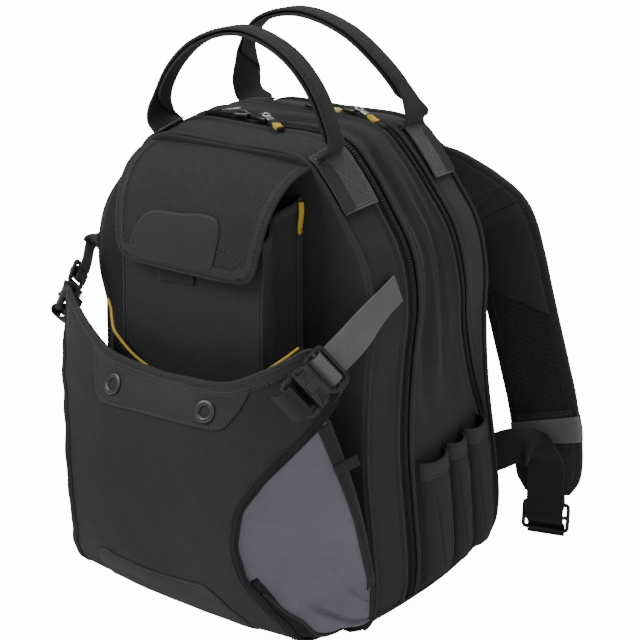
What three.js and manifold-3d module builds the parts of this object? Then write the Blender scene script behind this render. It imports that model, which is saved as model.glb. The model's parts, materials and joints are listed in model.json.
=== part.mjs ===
// A tool backpack: a zipped fabric body on a flat base, with a gathered front pouch whose wings buckle to
// the sides, a flapped box pocket above it, sleeve pockets on both sides, two folded webbing carry handles
// and two padded shoulder straps. Millimetres. X is across, to the right seen from the front; Y runs from
// the front to the wearer's back; Z is up. The origin is on the floor, under the middle of the body's width.
import * as THREE from "three";
import Module from "manifold-3d";
import { mergeVertices } from "three/addons/utils/BufferGeometryUtils.js";

const wasm = await Module();
wasm.setup();

// Driving dimensions
const BODY_HEIGHT = 408; // top of the front seam above the floor
const BODY_HALF_WIDTH = 146; // widest half width of the front seam
const FRONT_DEPTH = 95; // front seam ahead of the origin
const REAR_DEPTH = 108; // rearmost seam behind the origin
const SIDE_SWELL = 9; // how far the sides belly out between front and back
const TOP_SWELL = 9; // how far the top domes up between front and back
const CLOTH = 2.5; // body, flap and pouch cloth, with its backing
const BASE_WALL = 3; // base cloth with its stiffener
const BASE_TURN_UP = 20; // height at which the base meets the side bands
const SEAM_GAP = 0.4; // clearance between neighbouring pieces

const ZIP_WIDTH = 18; // both tapes of a zip
const ZIP_RECESS = 1; // tapes lie this far below the bands
const ZIP_COIL_RISE = 2.2; // coil above the tapes
const FRONT_BAND_WIDTH = 38; // band from the front seam to the first zip
const FOLD_DEPTH = 6; // deepest crease in the main band

const POUCH_REACH = 112; // pouch front ahead of the front panel
const POUCH_HEIGHT = 278; // top of the wings above the floor
const POUCH_HALF_WIDTH = 147; // wing tip from the middle
const GUSSET_CLOTH = 1.8;
const GUSSET_BULGE = 10;
const GUSSET_TOP = 58; // where the gusset's free edge meets the front seam
const GUSSET_TUCK = 3.2; // its front edge lies this far behind the pouch panel's face
const EYELET_BORE = 5;
const EYELET_SIDES = 10; // facets of the eyelets and their holes
const EYELET_BEVEL = 1.5;
const EYELET_TUBE_WALL = 1;
const EYELET_FLANGE = 10;
const EYELET_FLANGE_THICKNESS = 1.2;

const POCKET_HALF_WIDTH = 74; // box pocket under the flap
const POCKET_DEPTH = 50;
const POCKET_BOTTOM = 150;
const POCKET_BELOW_TOP = 58; // its front edge below the front seam's top
const POCKET_BULGE = 4;
const POCKET_CORNER = 12; // radius of its upright front corners
const POCKET_SIDE_RISE = 27; // how far its sides rise above its front, at the back
const FLAP_HALF_WIDTH = 80;
const FLAP_REACH = 66;
const FLAP_DROP = 84; // flap hem below its seam
const PATCH_CLOTH = 1.2;
const LOOP_WIDTH = 40; // loop tape under the flap
const LOOP_HEIGHT = 11;
const LOOP_THICKNESS = 2.4;
const LABEL_HEIGHT = 26; // yellow side label at the box pocket
const LABEL_WIDTH = 6;
const LABEL_THICKNESS = 1.2;
const LABEL_DROP = 4; // its top end below the pocket's rear corner
const DIVIDER_HEIGHT = 268; // ends of the inner pocket's rim
const DIVIDER_DIP = 52; // how far that rim dips in the middle
const DIVIDER_HALF_WIDTH = 100;
const DIVIDER_FOOT = 26;
const DIVIDER_FLARE = 8; // how much wider each side is at the foot
const DIVIDER_HOLLOW = 16; // how far the sides lie back of the middle

const HANDLE_WIDTH = 36; // carry handle webbing, laid flat
const HANDLE_THICKNESS = 2.6;
const GRIP_WIDTH = 19; // the same webbing folded in half
const GRIP_THICKNESS = 7;
const HANDLE_RISE = 96; // middle of the grip above the feet
const HANDLE_FOOT = 36; // height of the part sewn down on the body

const STRAP_WIDTH = 63; // padded shoulder strap
const STRAP_THICKNESS = 13;
const WEBBING_THICKNESS = 1.8;
const KEEPER_WIDTH = 22; // elastic keeper on the strap
const KEEPER_SHARE = 0.875; // its lower edge along the strap
const TAB_LENGTH = 8; // tab between the pad and the lock
const LOWER_WEBBING_WIDTH = 36;
const LOCK_WIDTH = 46; // ladder lock at the strap's end
const LOCK_LENGTH = 28;
const TAB_WIDTH = 34; // webbing tab between pad and lock

const LOWER_WEBBING_HEIGHT = 88; // where it leaves the back
const COMPRESSION_WIDTH = 25;
const STRAP_SEAM_HEIGHT = 305; // sewn end of the compression strap
const STRAP_SEAM_DEPTH = -68;
const BUCKLE_WIDTH = 36;
const BUCKLE_SOCKET_LENGTH = 27;
const BUCKLE_LADDER_LENGTH = 21;
const BUCKLE_THICKNESS = 10;
const LADDER_THICKNESS = 3.6;
const LADDER_BAR = 3.4;
const FREE_END = 20; // the compression strap is clear of the body this far before its ladder
const BAR_TURN = 1.4; // webbing turns over a bar this far from the middle of its slot

const SLEEVE_TOP = 147; // side sleeve pockets
const SLEEVE_BOTTOM = 27;
const SLEEVE_CLOTH = 2;
const SLEEVE_SEAT = 0.8; // sleeves stand this far off the band
const BACK_PAD_THICKNESS = 14;
const BACK_PAD_TOP = 292;
const BACK_PAD_BOTTOM = 30;
const BACK_PAD_HALF_WIDTH = 118;
const PAD_RIM = 3; // thickness of a pad at its seam

const PULL_LENGTH = 30;
const PULL_WIDTH = 9;
const PULL_THICKNESS = 1.8;
const PULL_OVERLAP = 4; // the pull starts this far over its slider
const SLIDER_LENGTH = 13;
const SLIDER_WIDTH = 11;
const SLIDER_HEIGHT = 5;

// Half of the front view outline, from the middle of the base up the side to the middle of the top.
// up is a share of BODY_HEIGHT and out a share of BODY_HALF_WIDTH.
const OUTLINE = [
  { up: 0, out: 0 },
  { up: 0, out: 0.45 },
  { up: 0, out: 0.8 },
  { up: 0.018, out: 0.92 },
  { up: 0.055, out: 0.98 },
  { up: 0.12, out: 1 },
  { up: 0.22, out: 0.975 },
  { up: 0.4, out: 0.925 },
  { up: 0.58, out: 0.935 },
  { up: 0.69, out: 0.96 },
  { up: 0.77, out: 0.935 },
  { up: 0.82, out: 0.885 },
  { up: 0.87, out: 0.795 },
  { up: 0.92, out: 0.7 },
  { up: 0.96, out: 0.61 },
  { up: 0.985, out: 0.54 },
  { up: 1, out: 0.42 },
  { up: 1, out: 0 },
];
// Where the second zip and the rear seam lie at each height: shares of BODY_HEIGHT and REAR_DEPTH.
const DEPTHS = [
  { up: 0, zip: 0.86, rear: 0.985 },
  { up: 0.13, zip: 0.86, rear: 1 },
  { up: 0.25, zip: 0.84, rear: 0.99 },
  { up: 0.36, zip: 0.77, rear: 0.95 },
  { up: 0.47, zip: 0.57, rear: 0.88 },
  { up: 0.59, zip: 0.38, rear: 0.8 },
  { up: 0.73, zip: 0.24, rear: 0.715 },
  { up: 0.86, zip: 0.185, rear: 0.66 },
  { up: 1, zip: 0.12, rear: 0.615 },
];
// Creases down the main band: across is a share of the band, from and to are heights as shares of
// BODY_HEIGHT, deep is a share of FOLD_DEPTH and wide a share of the band.
const FOLDS = [
  { across: 0.3, from: 0.38, to: 1.1, deep: 1, wide: 0.14 },
  { across: 0.64, from: 0.38, to: 0.97, deep: 0.8, wide: 0.13 },
];
// The pouch panel from the seam under the body to the rim. ahead is a share of POUCH_REACH, up a share of
// POUCH_HEIGHT, out a share of POUCH_HALF_WIDTH; mid columns are on the middle line, edge columns on the
// side edge.
const POUCH = [
  { midAhead: 0, midUp: 0.02, edgeOut: 0.88, edgeAhead: 0, edgeUp: 0.06 },
  { midAhead: 0.3, midUp: 0.035, edgeOut: 0.86, edgeAhead: 0.3, edgeUp: 0.07 },
  { midAhead: 0.6, midUp: 0.068, edgeOut: 0.82, edgeAhead: 0.59, edgeUp: 0.09 },
  { midAhead: 0.75, midUp: 0.14, edgeOut: 0.79, edgeAhead: 0.73, edgeUp: 0.16 },
  { midAhead: 0.85, midUp: 0.21, edgeOut: 0.72, edgeAhead: 0.84, edgeUp: 0.235 },
  { midAhead: 0.93, midUp: 0.29, edgeOut: 0.655, edgeAhead: 0.92, edgeUp: 0.3 },
  { midAhead: 0.98, midUp: 0.37, edgeOut: 0.62, edgeAhead: 0.98, edgeUp: 0.37 },
  { midAhead: 1, midUp: 0.455, edgeOut: 0.61, edgeAhead: 1, edgeUp: 0.455 },
  { midAhead: 0.99, midUp: 0.54, edgeOut: 0.63, edgeAhead: 0.98, edgeUp: 0.54 },
  { midAhead: 0.95, midUp: 0.64, edgeOut: 0.69, edgeAhead: 0.89, edgeUp: 0.61 },
  { midAhead: 0.885, midUp: 0.735, edgeOut: 0.78, edgeAhead: 0.77, edgeUp: 0.68 },
  { midAhead: 0.845, midUp: 0.78, edgeOut: 0.87, edgeAhead: 0.65, edgeUp: 0.745 },
  { midAhead: 0.795, midUp: 0.825, edgeOut: 0.945, edgeAhead: 0.53, edgeUp: 0.815 },
  { midAhead: 0.765, midUp: 0.855, edgeOut: 1, edgeAhead: 0.39, edgeUp: 0.9 },
];
// The pouch's scooped rim: across is a share of POUCH_HALF_WIDTH, up of POUCH_HEIGHT, ahead of POUCH_REACH.
const RIM = [
  { across: 0, up: 0.855, ahead: 0.765 },
  { across: 0.3, up: 0.865, ahead: 0.76 },
  { across: 0.45, up: 0.88, ahead: 0.745 },
  { across: 0.62, up: 0.925, ahead: 0.69 },
  { across: 0.76, up: 0.97, ahead: 0.62 },
  { across: 0.85, up: 1, ahead: 0.565 },
  { across: 0.93, up: 0.972, ahead: 0.47 },
  { across: 1, up: 0.9, ahead: 0.39 },
];
// The flap from its seam to its hem: out is a share of FLAP_HALF_WIDTH, ahead of FLAP_REACH, drop of
// FLAP_DROP.
const FLAP = [
  { out: 1, ahead: 0.062, drop: 0 },
  { out: 0.99, ahead: 0.33, drop: 0.045 },
  { out: 0.975, ahead: 0.58, drop: 0.16 },
  { out: 0.945, ahead: 0.77, drop: 0.34 },
  { out: 0.92, ahead: 0.87, drop: 0.51 },
  { out: 0.895, ahead: 0.94, drop: 0.7 },
  { out: 0.85, ahead: 0.985, drop: 0.88 },
  { out: 0.72, ahead: 1, drop: 1 },
];
// Side sleeves: from and to are shares of the main band's width, rise of the sleeves' height, bulge is how
// far they stand off the band.
const SLEEVES = [
  { from: 0.02, to: 0.37, rise: 0.95, bulge: 12 },
  { from: 0.39, to: 0.64, rise: 0.98, bulge: 12 },
  { from: 0.66, to: 0.98, rise: 1, bulge: 15 },
];
// The right shoulder strap's middle line, from its seam on the back to the end of its pad. out is a share
// of BODY_HALF_WIDTH, back of REAR_DEPTH and up of BODY_HEIGHT; turn is the angle of the strap's width from
// the X axis towards the back, in degrees, wide a share of STRAP_WIDTH and thick of STRAP_THICKNESS. Where
// back is 0 the strap lies on the back panel.
const STRAP = [
  { out: 0.42, back: 0, up: 0.915, turn: 0, wide: 0.95, thick: 0.4 },
  { out: 0.5, back: 0, up: 0.885, turn: 1, wide: 1, thick: 0.6 },
  { out: 0.6, back: 0.95, up: 0.85, turn: 3, wide: 1, thick: 0.95 },
  { out: 0.69, back: 1.19, up: 0.805, turn: 6, wide: 1, thick: 1 },
  { out: 0.77, back: 1.4, up: 0.748, turn: 8, wide: 1, thick: 1 },
  { out: 0.835, back: 1.47, up: 0.662, turn: 9, wide: 1, thick: 1 },
  { out: 0.9, back: 1.48, up: 0.576, turn: 10, wide: 1, thick: 1 },
  { out: 0.98, back: 1.465, up: 0.49, turn: 10, wide: 1, thick: 1 },
  { out: 1.05, back: 1.46, up: 0.412, turn: 10, wide: 1, thick: 1 },
  { out: 1.13, back: 1.43, up: 0.331, turn: 10, wide: 1, thick: 1 },
  { out: 1.21, back: 1.37, up: 0.235, turn: 10, wide: 0.98, thick: 1 },
  { out: 1.24, back: 1.32, up: 0.165, turn: 10, wide: 0.9, thick: 0.9 },
  { out: 1.25, back: 1.29, up: 0.13, turn: 10, wide: 0.62, thick: 0.5 },
];
// Carry handle arches, from the foot on the right over the grip. foot and grip are depths: shares of
// FRONT_DEPTH ahead of the origin, of REAR_DEPTH behind it. drift is how far the grip stands to the right,
// a share of HANDLE_RISE. out is a share of BODY_HALF_WIDTH, rise of HANDLE_RISE and lean of the way from
// the foot's depth to the grip's depth.
const HANDLES = [
  {
    name: "handle_front",
    foot: -0.8,
    grip: -0.905,
    drift: 0.083,
    arch: [
      { out: 0.605, rise: 0.15, lean: 0.3 },
      { out: 0.575, rise: 0.34, lean: 0.6 },
      { out: 0.475, rise: 0.62, lean: 0.85 },
      { out: 0.29, rise: 0.87, lean: 1 },
      { out: 0, rise: 1, lean: 1 },
    ],
  },
  {
    name: "handle_rear",
    foot: 0.454,
    grip: 0.167,
    drift: -0.125,
    arch: [
      { out: 0.6, rise: 0.14, lean: 0.1 },
      { out: 0.575, rise: 0.34, lean: 0.3 },
      { out: 0.49, rise: 0.6, lean: 0.62 },
      { out: 0.3, rise: 0.88, lean: 0.92 },
      { out: 0, rise: 1, lean: 1 },
    ],
  },
];
// Buckles, each where its plug meets its socket, as shares of POUCH_HALF_WIDTH, POUCH_REACH and
// POUCH_HEIGHT; the left strap is pulled tighter. drop is how far the loop's sewn end lies under the buckle,
// a share of BUCKLE_THICKNESS; along points down to the wing and face away from the body, for the right side.
const BUCKLES = [
  {
    name: "right",
    out: 0.94,
    ahead: 0.635,
    up: 0.94,
    drop: 1,
    along: { x: -0.19, y: -0.84, z: -0.51 },
    face: { x: 0.72, y: -0.5, z: 0.4 },
  },
  {
    name: "left",
    out: 1.08,
    ahead: 0.2,
    up: 0.945,
    drop: 0,
    along: { x: -0.02, y: -0.6, z: -0.8 },
    face: { x: 0.9, y: -0.33, z: 0.15 },
  },
];
// The compression strap's sewn end: below and ahead are the way from its seam to the front seam of the body,
// gap its play over the skin and axis the direction of its width.
const SEWN_END = [
  { below: 0, ahead: 0, gap: 0.5, axis: { x: 0.12, y: 0.35, z: -0.93 } },
  { below: 5, ahead: 0.5, gap: 0.8, axis: { x: 0.12, y: 0.35, z: -0.93 } },
  { below: 10, ahead: 1, gap: 2.2, axis: { x: 0.2, y: 0.33, z: -0.9 } },
];
// The lower webbing on its way from the back to the front of the pad: out, back and up are millimetres from
// where it is sewn on, and axis is the direction of its width.
const LOWER_WEBBING = [
  { out: 0, back: 0, up: 0, axis: { x: 0, y: 0, z: 1 } },
  { out: 16, back: 0.5, up: 3, axis: { x: 0, y: 0, z: 1 } },
  { out: 33, back: 4, up: 14, axis: { x: -0.35, y: -0.2, z: 0.9 } },
  { out: 48, back: 7, up: 18, axis: { x: -0.75, y: -0.25, z: 0.55 } },
];
// Its drop in front of the pad into the lock: above is the way over the lock's end and clear the play in
// front of the webbing that is already there.
const WEBBING_DROP = [
  { above: 42, clear: 9 },
  { above: 22, clear: 5 },
  { above: 4, clear: 0 },
  { above: -LOCK_LENGTH / 2, clear: 0 },
];
// Zip sliders: out is a share of BODY_HALF_WIDTH, past is how many pulls with their sliders lie before it on
// the same zip, lay is the way its own pull lies along the zip and swing the angle by which that is turned
// towards the back, in degrees.
const SLIDERS = [
  { name: "front_left", zip: "front", out: -0.17, past: 0, lay: -1, swing: 0 },
  { name: "front_right", zip: "front", out: -0.02, past: 0, lay: 1, swing: -26 },
  { name: "main_left", zip: "main", out: 0.03, past: 0, lay: 1, swing: -8 },
  { name: "main_right", zip: "main", out: 0.03, past: 1, lay: 1, swing: -12 },
];
// The eyelets' cells in the pouch panel's grid of points, and the patches as ranges of its rows and columns.
const EYELET_CELLS = { right: { row: 11, column: 8 }, left: { row: 11, column: 5 } };
const MOUTH_PATCH = { fromRow: 10, toRow: 13, fromColumn: 4, toColumn: 10 };
const LOWER_PATCH = { fromRow: 2, toRow: 4, fromColumn: 4, toColumn: 10 };
const FLAP_PATCH = { fromRow: 4, toRow: 6, fromColumn: 2, toColumn: 6 };
const BAR_CORNERS = 8; // corners of a swept bar's section
const SQUARENESS = 0.55; // 0 would make that section a rectangle and 1 an ellipse

const FRONT_Y = -FRONT_DEPTH;
const ZIP1_Y = FRONT_Y + FRONT_BAND_WIDTH + ZIP_WIDTH / 2;
const POCKET_TOP = BODY_HEIGHT - POCKET_BELOW_TOP;
const FRONT_FACE = FRONT_Y - SEAM_GAP - CLOTH; // front face of the front panel
const ON_FRONT = FRONT_FACE - SEAM_GAP; // back of what is sewn on it
const OUTLINE_CELLS = 36; // cells along an arched band
const BASE_CELLS = 14;

// One column of a table at a value of its rising key column, smoothed through the rows.
function lookUp(table, key, value, column) {
  const last = table.length - 1;
  let i = 0;
  while (i < last - 1 && value > table[i + 1][key]) i++;
  const a = table[i];
  const b = table[i + 1];
  const slope = (k) => {
    const before = table[Math.max(k - 1, 0)];
    const after = table[Math.min(k + 1, last)];
    return (after[column] - before[column]) / (after[key] - before[key]);
  };
  const span = b[key] - a[key];
  const t = THREE.MathUtils.clamp((value - a[key]) / span, 0, 1);
  const rise = b[column] - a[column];
  const bend = (slope(i) * span - rise) * (1 - t) + (rise - slope(i + 1) * span) * t;
  return a[column] + rise * t + bend * t * (1 - t);
}

// The outline as a closed curve in the XZ plane, from the middle of the base round by the right side.
const rightHalf = OUTLINE.map((row) => new THREE.Vector3(row.out * BODY_HALF_WIDTH, 0, row.up * BODY_HEIGHT));
const leftHalf = rightHalf
  .slice(1, -1)
  .reverse()
  .map((p) => new THREE.Vector3(-p.x, 0, p.z));
const outlineCurve = new THREE.CatmullRomCurve3([...rightHalf, ...leftHalf], true, "centripetal");
outlineCurve.arcLengthDivisions = 800;

// A point of the outline at share s of its length, with its outward normal in the XZ plane.
function outlineAt(s) {
  const share = ((s % 1) + 1) % 1;
  const p = outlineCurve.getPointAt(share);
  const t = outlineCurve.getTangentAt(share);
  const normal = new THREE.Vector3(t.z, 0, -t.x).normalize();
  return { x: p.x, z: Math.max(0, p.z), normal };
}

// The share of the outline's length at which its right side passes a height.
function shareAtHeight(height) {
  let low = 0.06;
  let high = 0.47;
  for (let i = 0; i < 40; i++) {
    const middle = (low + high) / 2;
    if (outlineCurve.getPointAt(middle).z < height) low = middle;
    else high = middle;
  }
  return low;
}

const rearY = (z) => REAR_DEPTH * lookUp(DEPTHS, "up", z / BODY_HEIGHT, "rear");
const zip2Y = (z) => REAR_DEPTH * lookUp(DEPTHS, "up", z / BODY_HEIGHT, "zip");

// A point on the body's skin at share s of the outline and depth y, lifted off it by lift.
function bodyPoint(s, y, lift = 0) {
  const o = outlineAt(s);
  const share = THREE.MathUtils.clamp((y - FRONT_Y) / (rearY(o.z) - FRONT_Y), 0, 1);
  const upward = Math.max(0, o.normal.z);
  const sideways = o.normal.z < -0.5 ? 0 : o.normal.x * o.normal.x;
  const swell = Math.sin(Math.PI * share) * (SIDE_SWELL * sideways + TOP_SWELL * upward * upward);
  return new THREE.Vector3(o.x + o.normal.x * (swell + lift), y, o.z + o.normal.z * (swell + lift));
}

// Collects triangles and makes a geometry whose faces point out.
class Skin {
  constructor() {
    this.points = [];
    this.faces = [];
  }
  add(p) {
    this.points.push(p.x, p.y, p.z);
    return this.points.length / 3 - 1;
  }
  quad(a, b, c, d) {
    this.faces.push(a, b, c, a, c, d);
  }
  geometry() {
    const p = this.points;
    const f = this.faces;
    let volume = 0;
    for (let i = 0; i < f.length; i += 3) {
      const a = new THREE.Vector3().fromArray(p, f[i] * 3);
      const b = new THREE.Vector3().fromArray(p, f[i + 1] * 3);
      const c = new THREE.Vector3().fromArray(p, f[i + 2] * 3);
      volume += a.dot(b.cross(c)) / 6;
    }
    if (volume < 0) f.reverse();
    const g = new THREE.BufferGeometry();
    g.setAttribute("position", new THREE.BufferAttribute(new Float32Array(p), 3));
    g.setIndex(f);
    g.computeVertexNormals();
    return g;
  }
}

// A wall between two matching grids of points, closed along its rims.
function wallBetween(outer, inner, skipCell = () => false) {
  const skin = new Skin();
  const rows = outer.length - 1;
  const columns = outer[0].length - 1;
  const out = outer.map((row) => row.map((p) => skin.add(p)));
  const inn = inner.map((row) => row.map((p) => skin.add(p)));
  const solid = (i, j) => i >= 0 && j >= 0 && i < rows && j < columns && !skipCell(i, j);
  for (let i = 0; i < rows; i++) {
    for (let j = 0; j < columns; j++) {
      if (!solid(i, j)) continue;
      skin.quad(out[i][j], out[i + 1][j], out[i + 1][j + 1], out[i][j + 1]);
      skin.quad(inn[i][j], inn[i][j + 1], inn[i + 1][j + 1], inn[i + 1][j]);
      if (!solid(i - 1, j)) skin.quad(out[i][j], out[i][j + 1], inn[i][j + 1], inn[i][j]);
      if (!solid(i + 1, j)) skin.quad(out[i + 1][j + 1], out[i + 1][j], inn[i + 1][j], inn[i + 1][j + 1]);
      if (!solid(i, j - 1)) skin.quad(out[i + 1][j], out[i][j], inn[i][j], inn[i + 1][j]);
      if (!solid(i, j + 1)) skin.quad(out[i][j + 1], out[i + 1][j + 1], inn[i + 1][j + 1], inn[i][j + 1]);
    }
  }
  return skin.geometry();
}

// A solid skinned over closed loops of points, one after another, with a flat fan at each end.
function skinLoops(loops, joined = false) {
  const skin = new Skin();
  const ids = loops.map((loop) => loop.map((p) => skin.add(p)));
  const n = loops[0].length;
  const spans = joined ? loops.length : loops.length - 1;
  for (let i = 0; i < spans; i++) {
    const a = ids[i];
    const b = ids[(i + 1) % loops.length];
    for (let j = 0; j < n; j++) skin.quad(a[j], a[(j + 1) % n], b[(j + 1) % n], b[j]);
  }
  if (!joined) {
    const cap = (loop, ring, turned) => {
      const centre = new THREE.Vector3();
      loop.forEach((p) => centre.add(p));
      const c = skin.add(centre.divideScalar(n));
      for (let j = 0; j < n; j++) {
        const k = (j + 1) % n;
        skin.faces.push(c, turned ? ring[j] : ring[k], turned ? ring[k] : ring[j]);
      }
    };
    cap(loops[0], ids[0], false);
    cap(loops[loops.length - 1], ids[loops.length - 1], true);
  }
  return skin.geometry();
}

// Range helper: n + 1 values from a to b.
function steps(a, b, n) {
  return Array.from({ length: n + 1 }, (_, i) => a + ((b - a) * i) / n);
}

// Outward normals of a grid of points, by central differences.
function gridNormals(grid) {
  const rows = grid.length;
  const columns = grid[0].length;
  return grid.map((row, i) =>
    row.map((_, j) => {
      const a = grid[Math.min(i + 1, rows - 1)][j].clone().sub(grid[Math.max(i - 1, 0)][j]);
      const b = row[Math.min(j + 1, columns - 1)].clone().sub(row[Math.max(j - 1, 0)]);
      return a.cross(b).normalize();
    }),
  );
}

function offsetGrid(grid, normals, distance) {
  return grid.map((row, i) => row.map((p, j) => p.clone().addScaledVector(normals[i][j], distance)));
}

// An arched band of the body between two depths, over a stretch of the outline.
function bodyBand(fromShare, toShare, cells, fromY, toY, rows, wall, relief = () => 0) {
  const grid = (lift) =>
    steps(fromShare, toShare, cells).map((s) => {
      const z = outlineAt(s).z;
      return rows.map((share) => {
        const y = fromY(z) + (toY(z) - fromY(z)) * share;
        return bodyPoint(s, y, relief(s, share) + lift);
      });
    });
  return wallBetween(grid(0), grid(-wall));
}

// Half width of the outline at a height.
function halfWidthAt(height) {
  if (height <= 0) return OUTLINE[2].out * BODY_HALF_WIDTH;
  const share = shareAtHeight(Math.min(height, BODY_HEIGHT - 1));
  return outlineAt(share).x;
}

// Heights at which flat panels and the pad on them have a row of points, as shares of BODY_HEIGHT.
const PANEL_HEIGHTS = [
  0, 0.02, 0.06, 0.13, 0.21, 0.29, 0.36, 0.43, 0.5, 0.57, 0.64, 0.71, 0.78, 0.84, 0.89, 0.94, 0.98, 1,
];

// A panel that closes the body at its front or back.
function bodyPanel(depth, wall) {
  const across = steps(-1, 1, 2);
  const grid = (offset) =>
    PANEL_HEIGHTS.map((up) => {
      const z = up * BODY_HEIGHT;
      return across.map((u) => new THREE.Vector3(u * halfWidthAt(z), depth(z) + offset, z));
    });
  return wallBetween(grid(wall), grid(0));
}

function toManifold(geometry) {
  const g = new THREE.BufferGeometry();
  g.setAttribute("position", geometry.getAttribute("position"));
  if (geometry.index) g.setIndex(geometry.index);
  const merged = mergeVertices(g, 1e-4);
  return new wasm.Manifold(
    new wasm.Mesh({
      numProp: 3,
      vertProperties: new Float32Array(merged.attributes.position.array),
      triVerts: new Uint32Array(merged.index.array),
    }),
  );
}

function fromManifold(solid) {
  const mesh = solid.getMesh();
  const g = new THREE.BufferGeometry();
  g.setAttribute("position", new THREE.BufferAttribute(new Float32Array(mesh.vertProperties), 3));
  g.setIndex(new THREE.BufferAttribute(new Uint32Array(mesh.triVerts), 1));
  g.computeVertexNormals();
  return g;
}

// The same geometry on the other side of the body.
function mirrored(geometry) {
  const g = geometry.clone();
  g.applyMatrix4(new THREE.Matrix4().makeScale(-1, 1, 1));
  if (!g.index) g.setIndex([...Array(g.getAttribute("position").count).keys()]);
  const index = g.index.array;
  for (let i = 0; i < index.length; i += 3) [index[i], index[i + 1]] = [index[i + 1], index[i]];
  g.computeVertexNormals();
  return g;
}

const blackCloth = { color: 0x2b2b2d, roughness: 0.85, metalness: 0 };
const blackWebbing = { color: 0x1c1c1e, roughness: 0.8, metalness: 0 };
const greyWebbing = { color: 0x6f7173, roughness: 0.8, metalness: 0 };
const greyCloth = { color: 0x626069, roughness: 0.75, metalness: 0 };
const blackPlastic = { color: 0x1a1a1b, roughness: 0.45, metalness: 0 };
const steel = { color: 0x8a8a8c, roughness: 0.35, metalness: 1 };
const yellowTape = { color: 0xc9a227, roughness: 0.7, metalness: 0 };

const backpack = new THREE.Group();
backpack.name = "tool_backpack";

function place(name, geometry, finish, parent = backpack) {
  const mesh = new THREE.Mesh(geometry, new THREE.MeshStandardMaterial(finish));
  mesh.name = name;
  parent.add(mesh);
  return mesh;
}

function placePair(name, geometry, finish) {
  place(name + "_right", geometry, finish);
  place(name + "_left", mirrored(geometry), finish);
}

// Body: bands, zips, panels and base
const halfGap = SEAM_GAP / 2;
const bandEnd = shareAtHeight(BASE_TURN_UP + halfGap);
const baseEnd = shareAtHeight(BASE_TURN_UP - halfGap);
const zip1Y = () => ZIP1_Y;
const beforeZip = (centreY) => (z) => centreY(z) - ZIP_WIDTH / 2 - halfGap;
const afterZip = (centreY) => (z) => centreY(z) + ZIP_WIDTH / 2 + halfGap;

function makeZip(centreY) {
  const from = (z) => centreY(z) - ZIP_WIDTH / 2 + halfGap;
  const to = (z) => centreY(z) + ZIP_WIDTH / 2 - halfGap;
  const relief = (_, share) => (share > 0.2 && share < 0.8 ? ZIP_COIL_RISE : 0) - ZIP_RECESS;
  return bodyBand(bandEnd, 1 - bandEnd, OUTLINE_CELLS, from, to, [0, 0.38, 0.62, 1], CLOTH, relief);
}

function mainRelief(s, share) {
  const up = outlineAt(s).z / BODY_HEIGHT;
  return FOLDS.reduce((sum, fold) => {
    const across = Math.exp(-(((share - fold.across) / fold.wide) ** 2));
    const along = THREE.MathUtils.smoothstep(up, fold.from, fold.from + 0.25);
    const fade = 1 - THREE.MathUtils.smoothstep(up, fold.to - 0.2, fold.to);
    return sum - fold.deep * FOLD_DEPTH * across * along * fade;
  }, 0);
}

function makeBody() {
  const frontEdge = () => FRONT_Y;
  const arched = (from, to, rows, relief) =>
    bodyBand(bandEnd, 1 - bandEnd, OUTLINE_CELLS, from, to, rows, CLOTH, relief);
  const mainRows = [0, 0.16, 0.3, 0.46, 0.64, 0.82, 1];
  const baseRows = [0, 0.33, 0.67, 1];
  place("front_band", arched(frontEdge, beforeZip(zip1Y), [0, 0.5, 1]), blackCloth);
  place("zip_front", makeZip(zip1Y), blackWebbing);
  place("main_band", arched(afterZip(zip1Y), beforeZip(zip2Y), mainRows, mainRelief), blackCloth);
  place("zip_main", makeZip(zip2Y), blackWebbing);
  place("rear_band", arched(afterZip(zip2Y), rearY, [0, 1]), blackCloth);
  place("base", bodyBand(-baseEnd, baseEnd, BASE_CELLS, frontEdge, rearY, baseRows, BASE_WALL), blackCloth);
  place("front_panel", bodyPanel(() => FRONT_Y - SEAM_GAP, -CLOTH), blackCloth);
  place("back_panel", bodyPanel((z) => rearY(z) + SEAM_GAP, CLOTH), blackCloth);
}

// The padded cushion on the lower back, crowned and thinner towards its rim.
function makeBackPad() {
  const middle = (BACK_PAD_BOTTOM + BACK_PAD_TOP) / 2;
  const reach = (BACK_PAD_TOP - BACK_PAD_BOTTOM) / 2;
  const onPad = (z) => z > BACK_PAD_BOTTOM && z < BACK_PAD_TOP;
  const inner = PANEL_HEIGHTS.map((up) => up * BODY_HEIGHT).filter(onPad);
  const heights = [BACK_PAD_BOTTOM, ...inner, BACK_PAD_TOP];
  const swell = (u, v) => Math.min(1, 2.6 * (1 - Math.max(Math.abs(u), Math.abs(v)))) ** 0.5;
  const grid = (lift) =>
    heights.map((z) => {
      const v = (z - middle) / reach;
      const corner = 1 - 0.12 * v ** 4;
      return steps(-1, 1, 8).map((u) => {
        const y = rearY(z) + CLOTH + 2 * SEAM_GAP + lift(u, v);
        return new THREE.Vector3(BACK_PAD_HALF_WIDTH * u * corner, y, z);
      });
    });
  const face = grid((u, v) => PAD_RIM + (BACK_PAD_THICKNESS - PAD_RIM) * swell(u, v));
  place("back_pad", wallBetween(face, grid(() => 0)), blackCloth);
}

// Pouch panel surface: rows of the POUCH table, across from the left edge to the right edge
const POUCH_COLUMNS = [-1, -0.93, -0.85, -0.74, -0.6, -0.44, -0.23, 0, 0.23, 0.44, 0.6, 0.74, 0.85, 0.93, 1];
const POUCH_LAST_COLUMN = POUCH_COLUMNS.length - 1;

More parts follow.
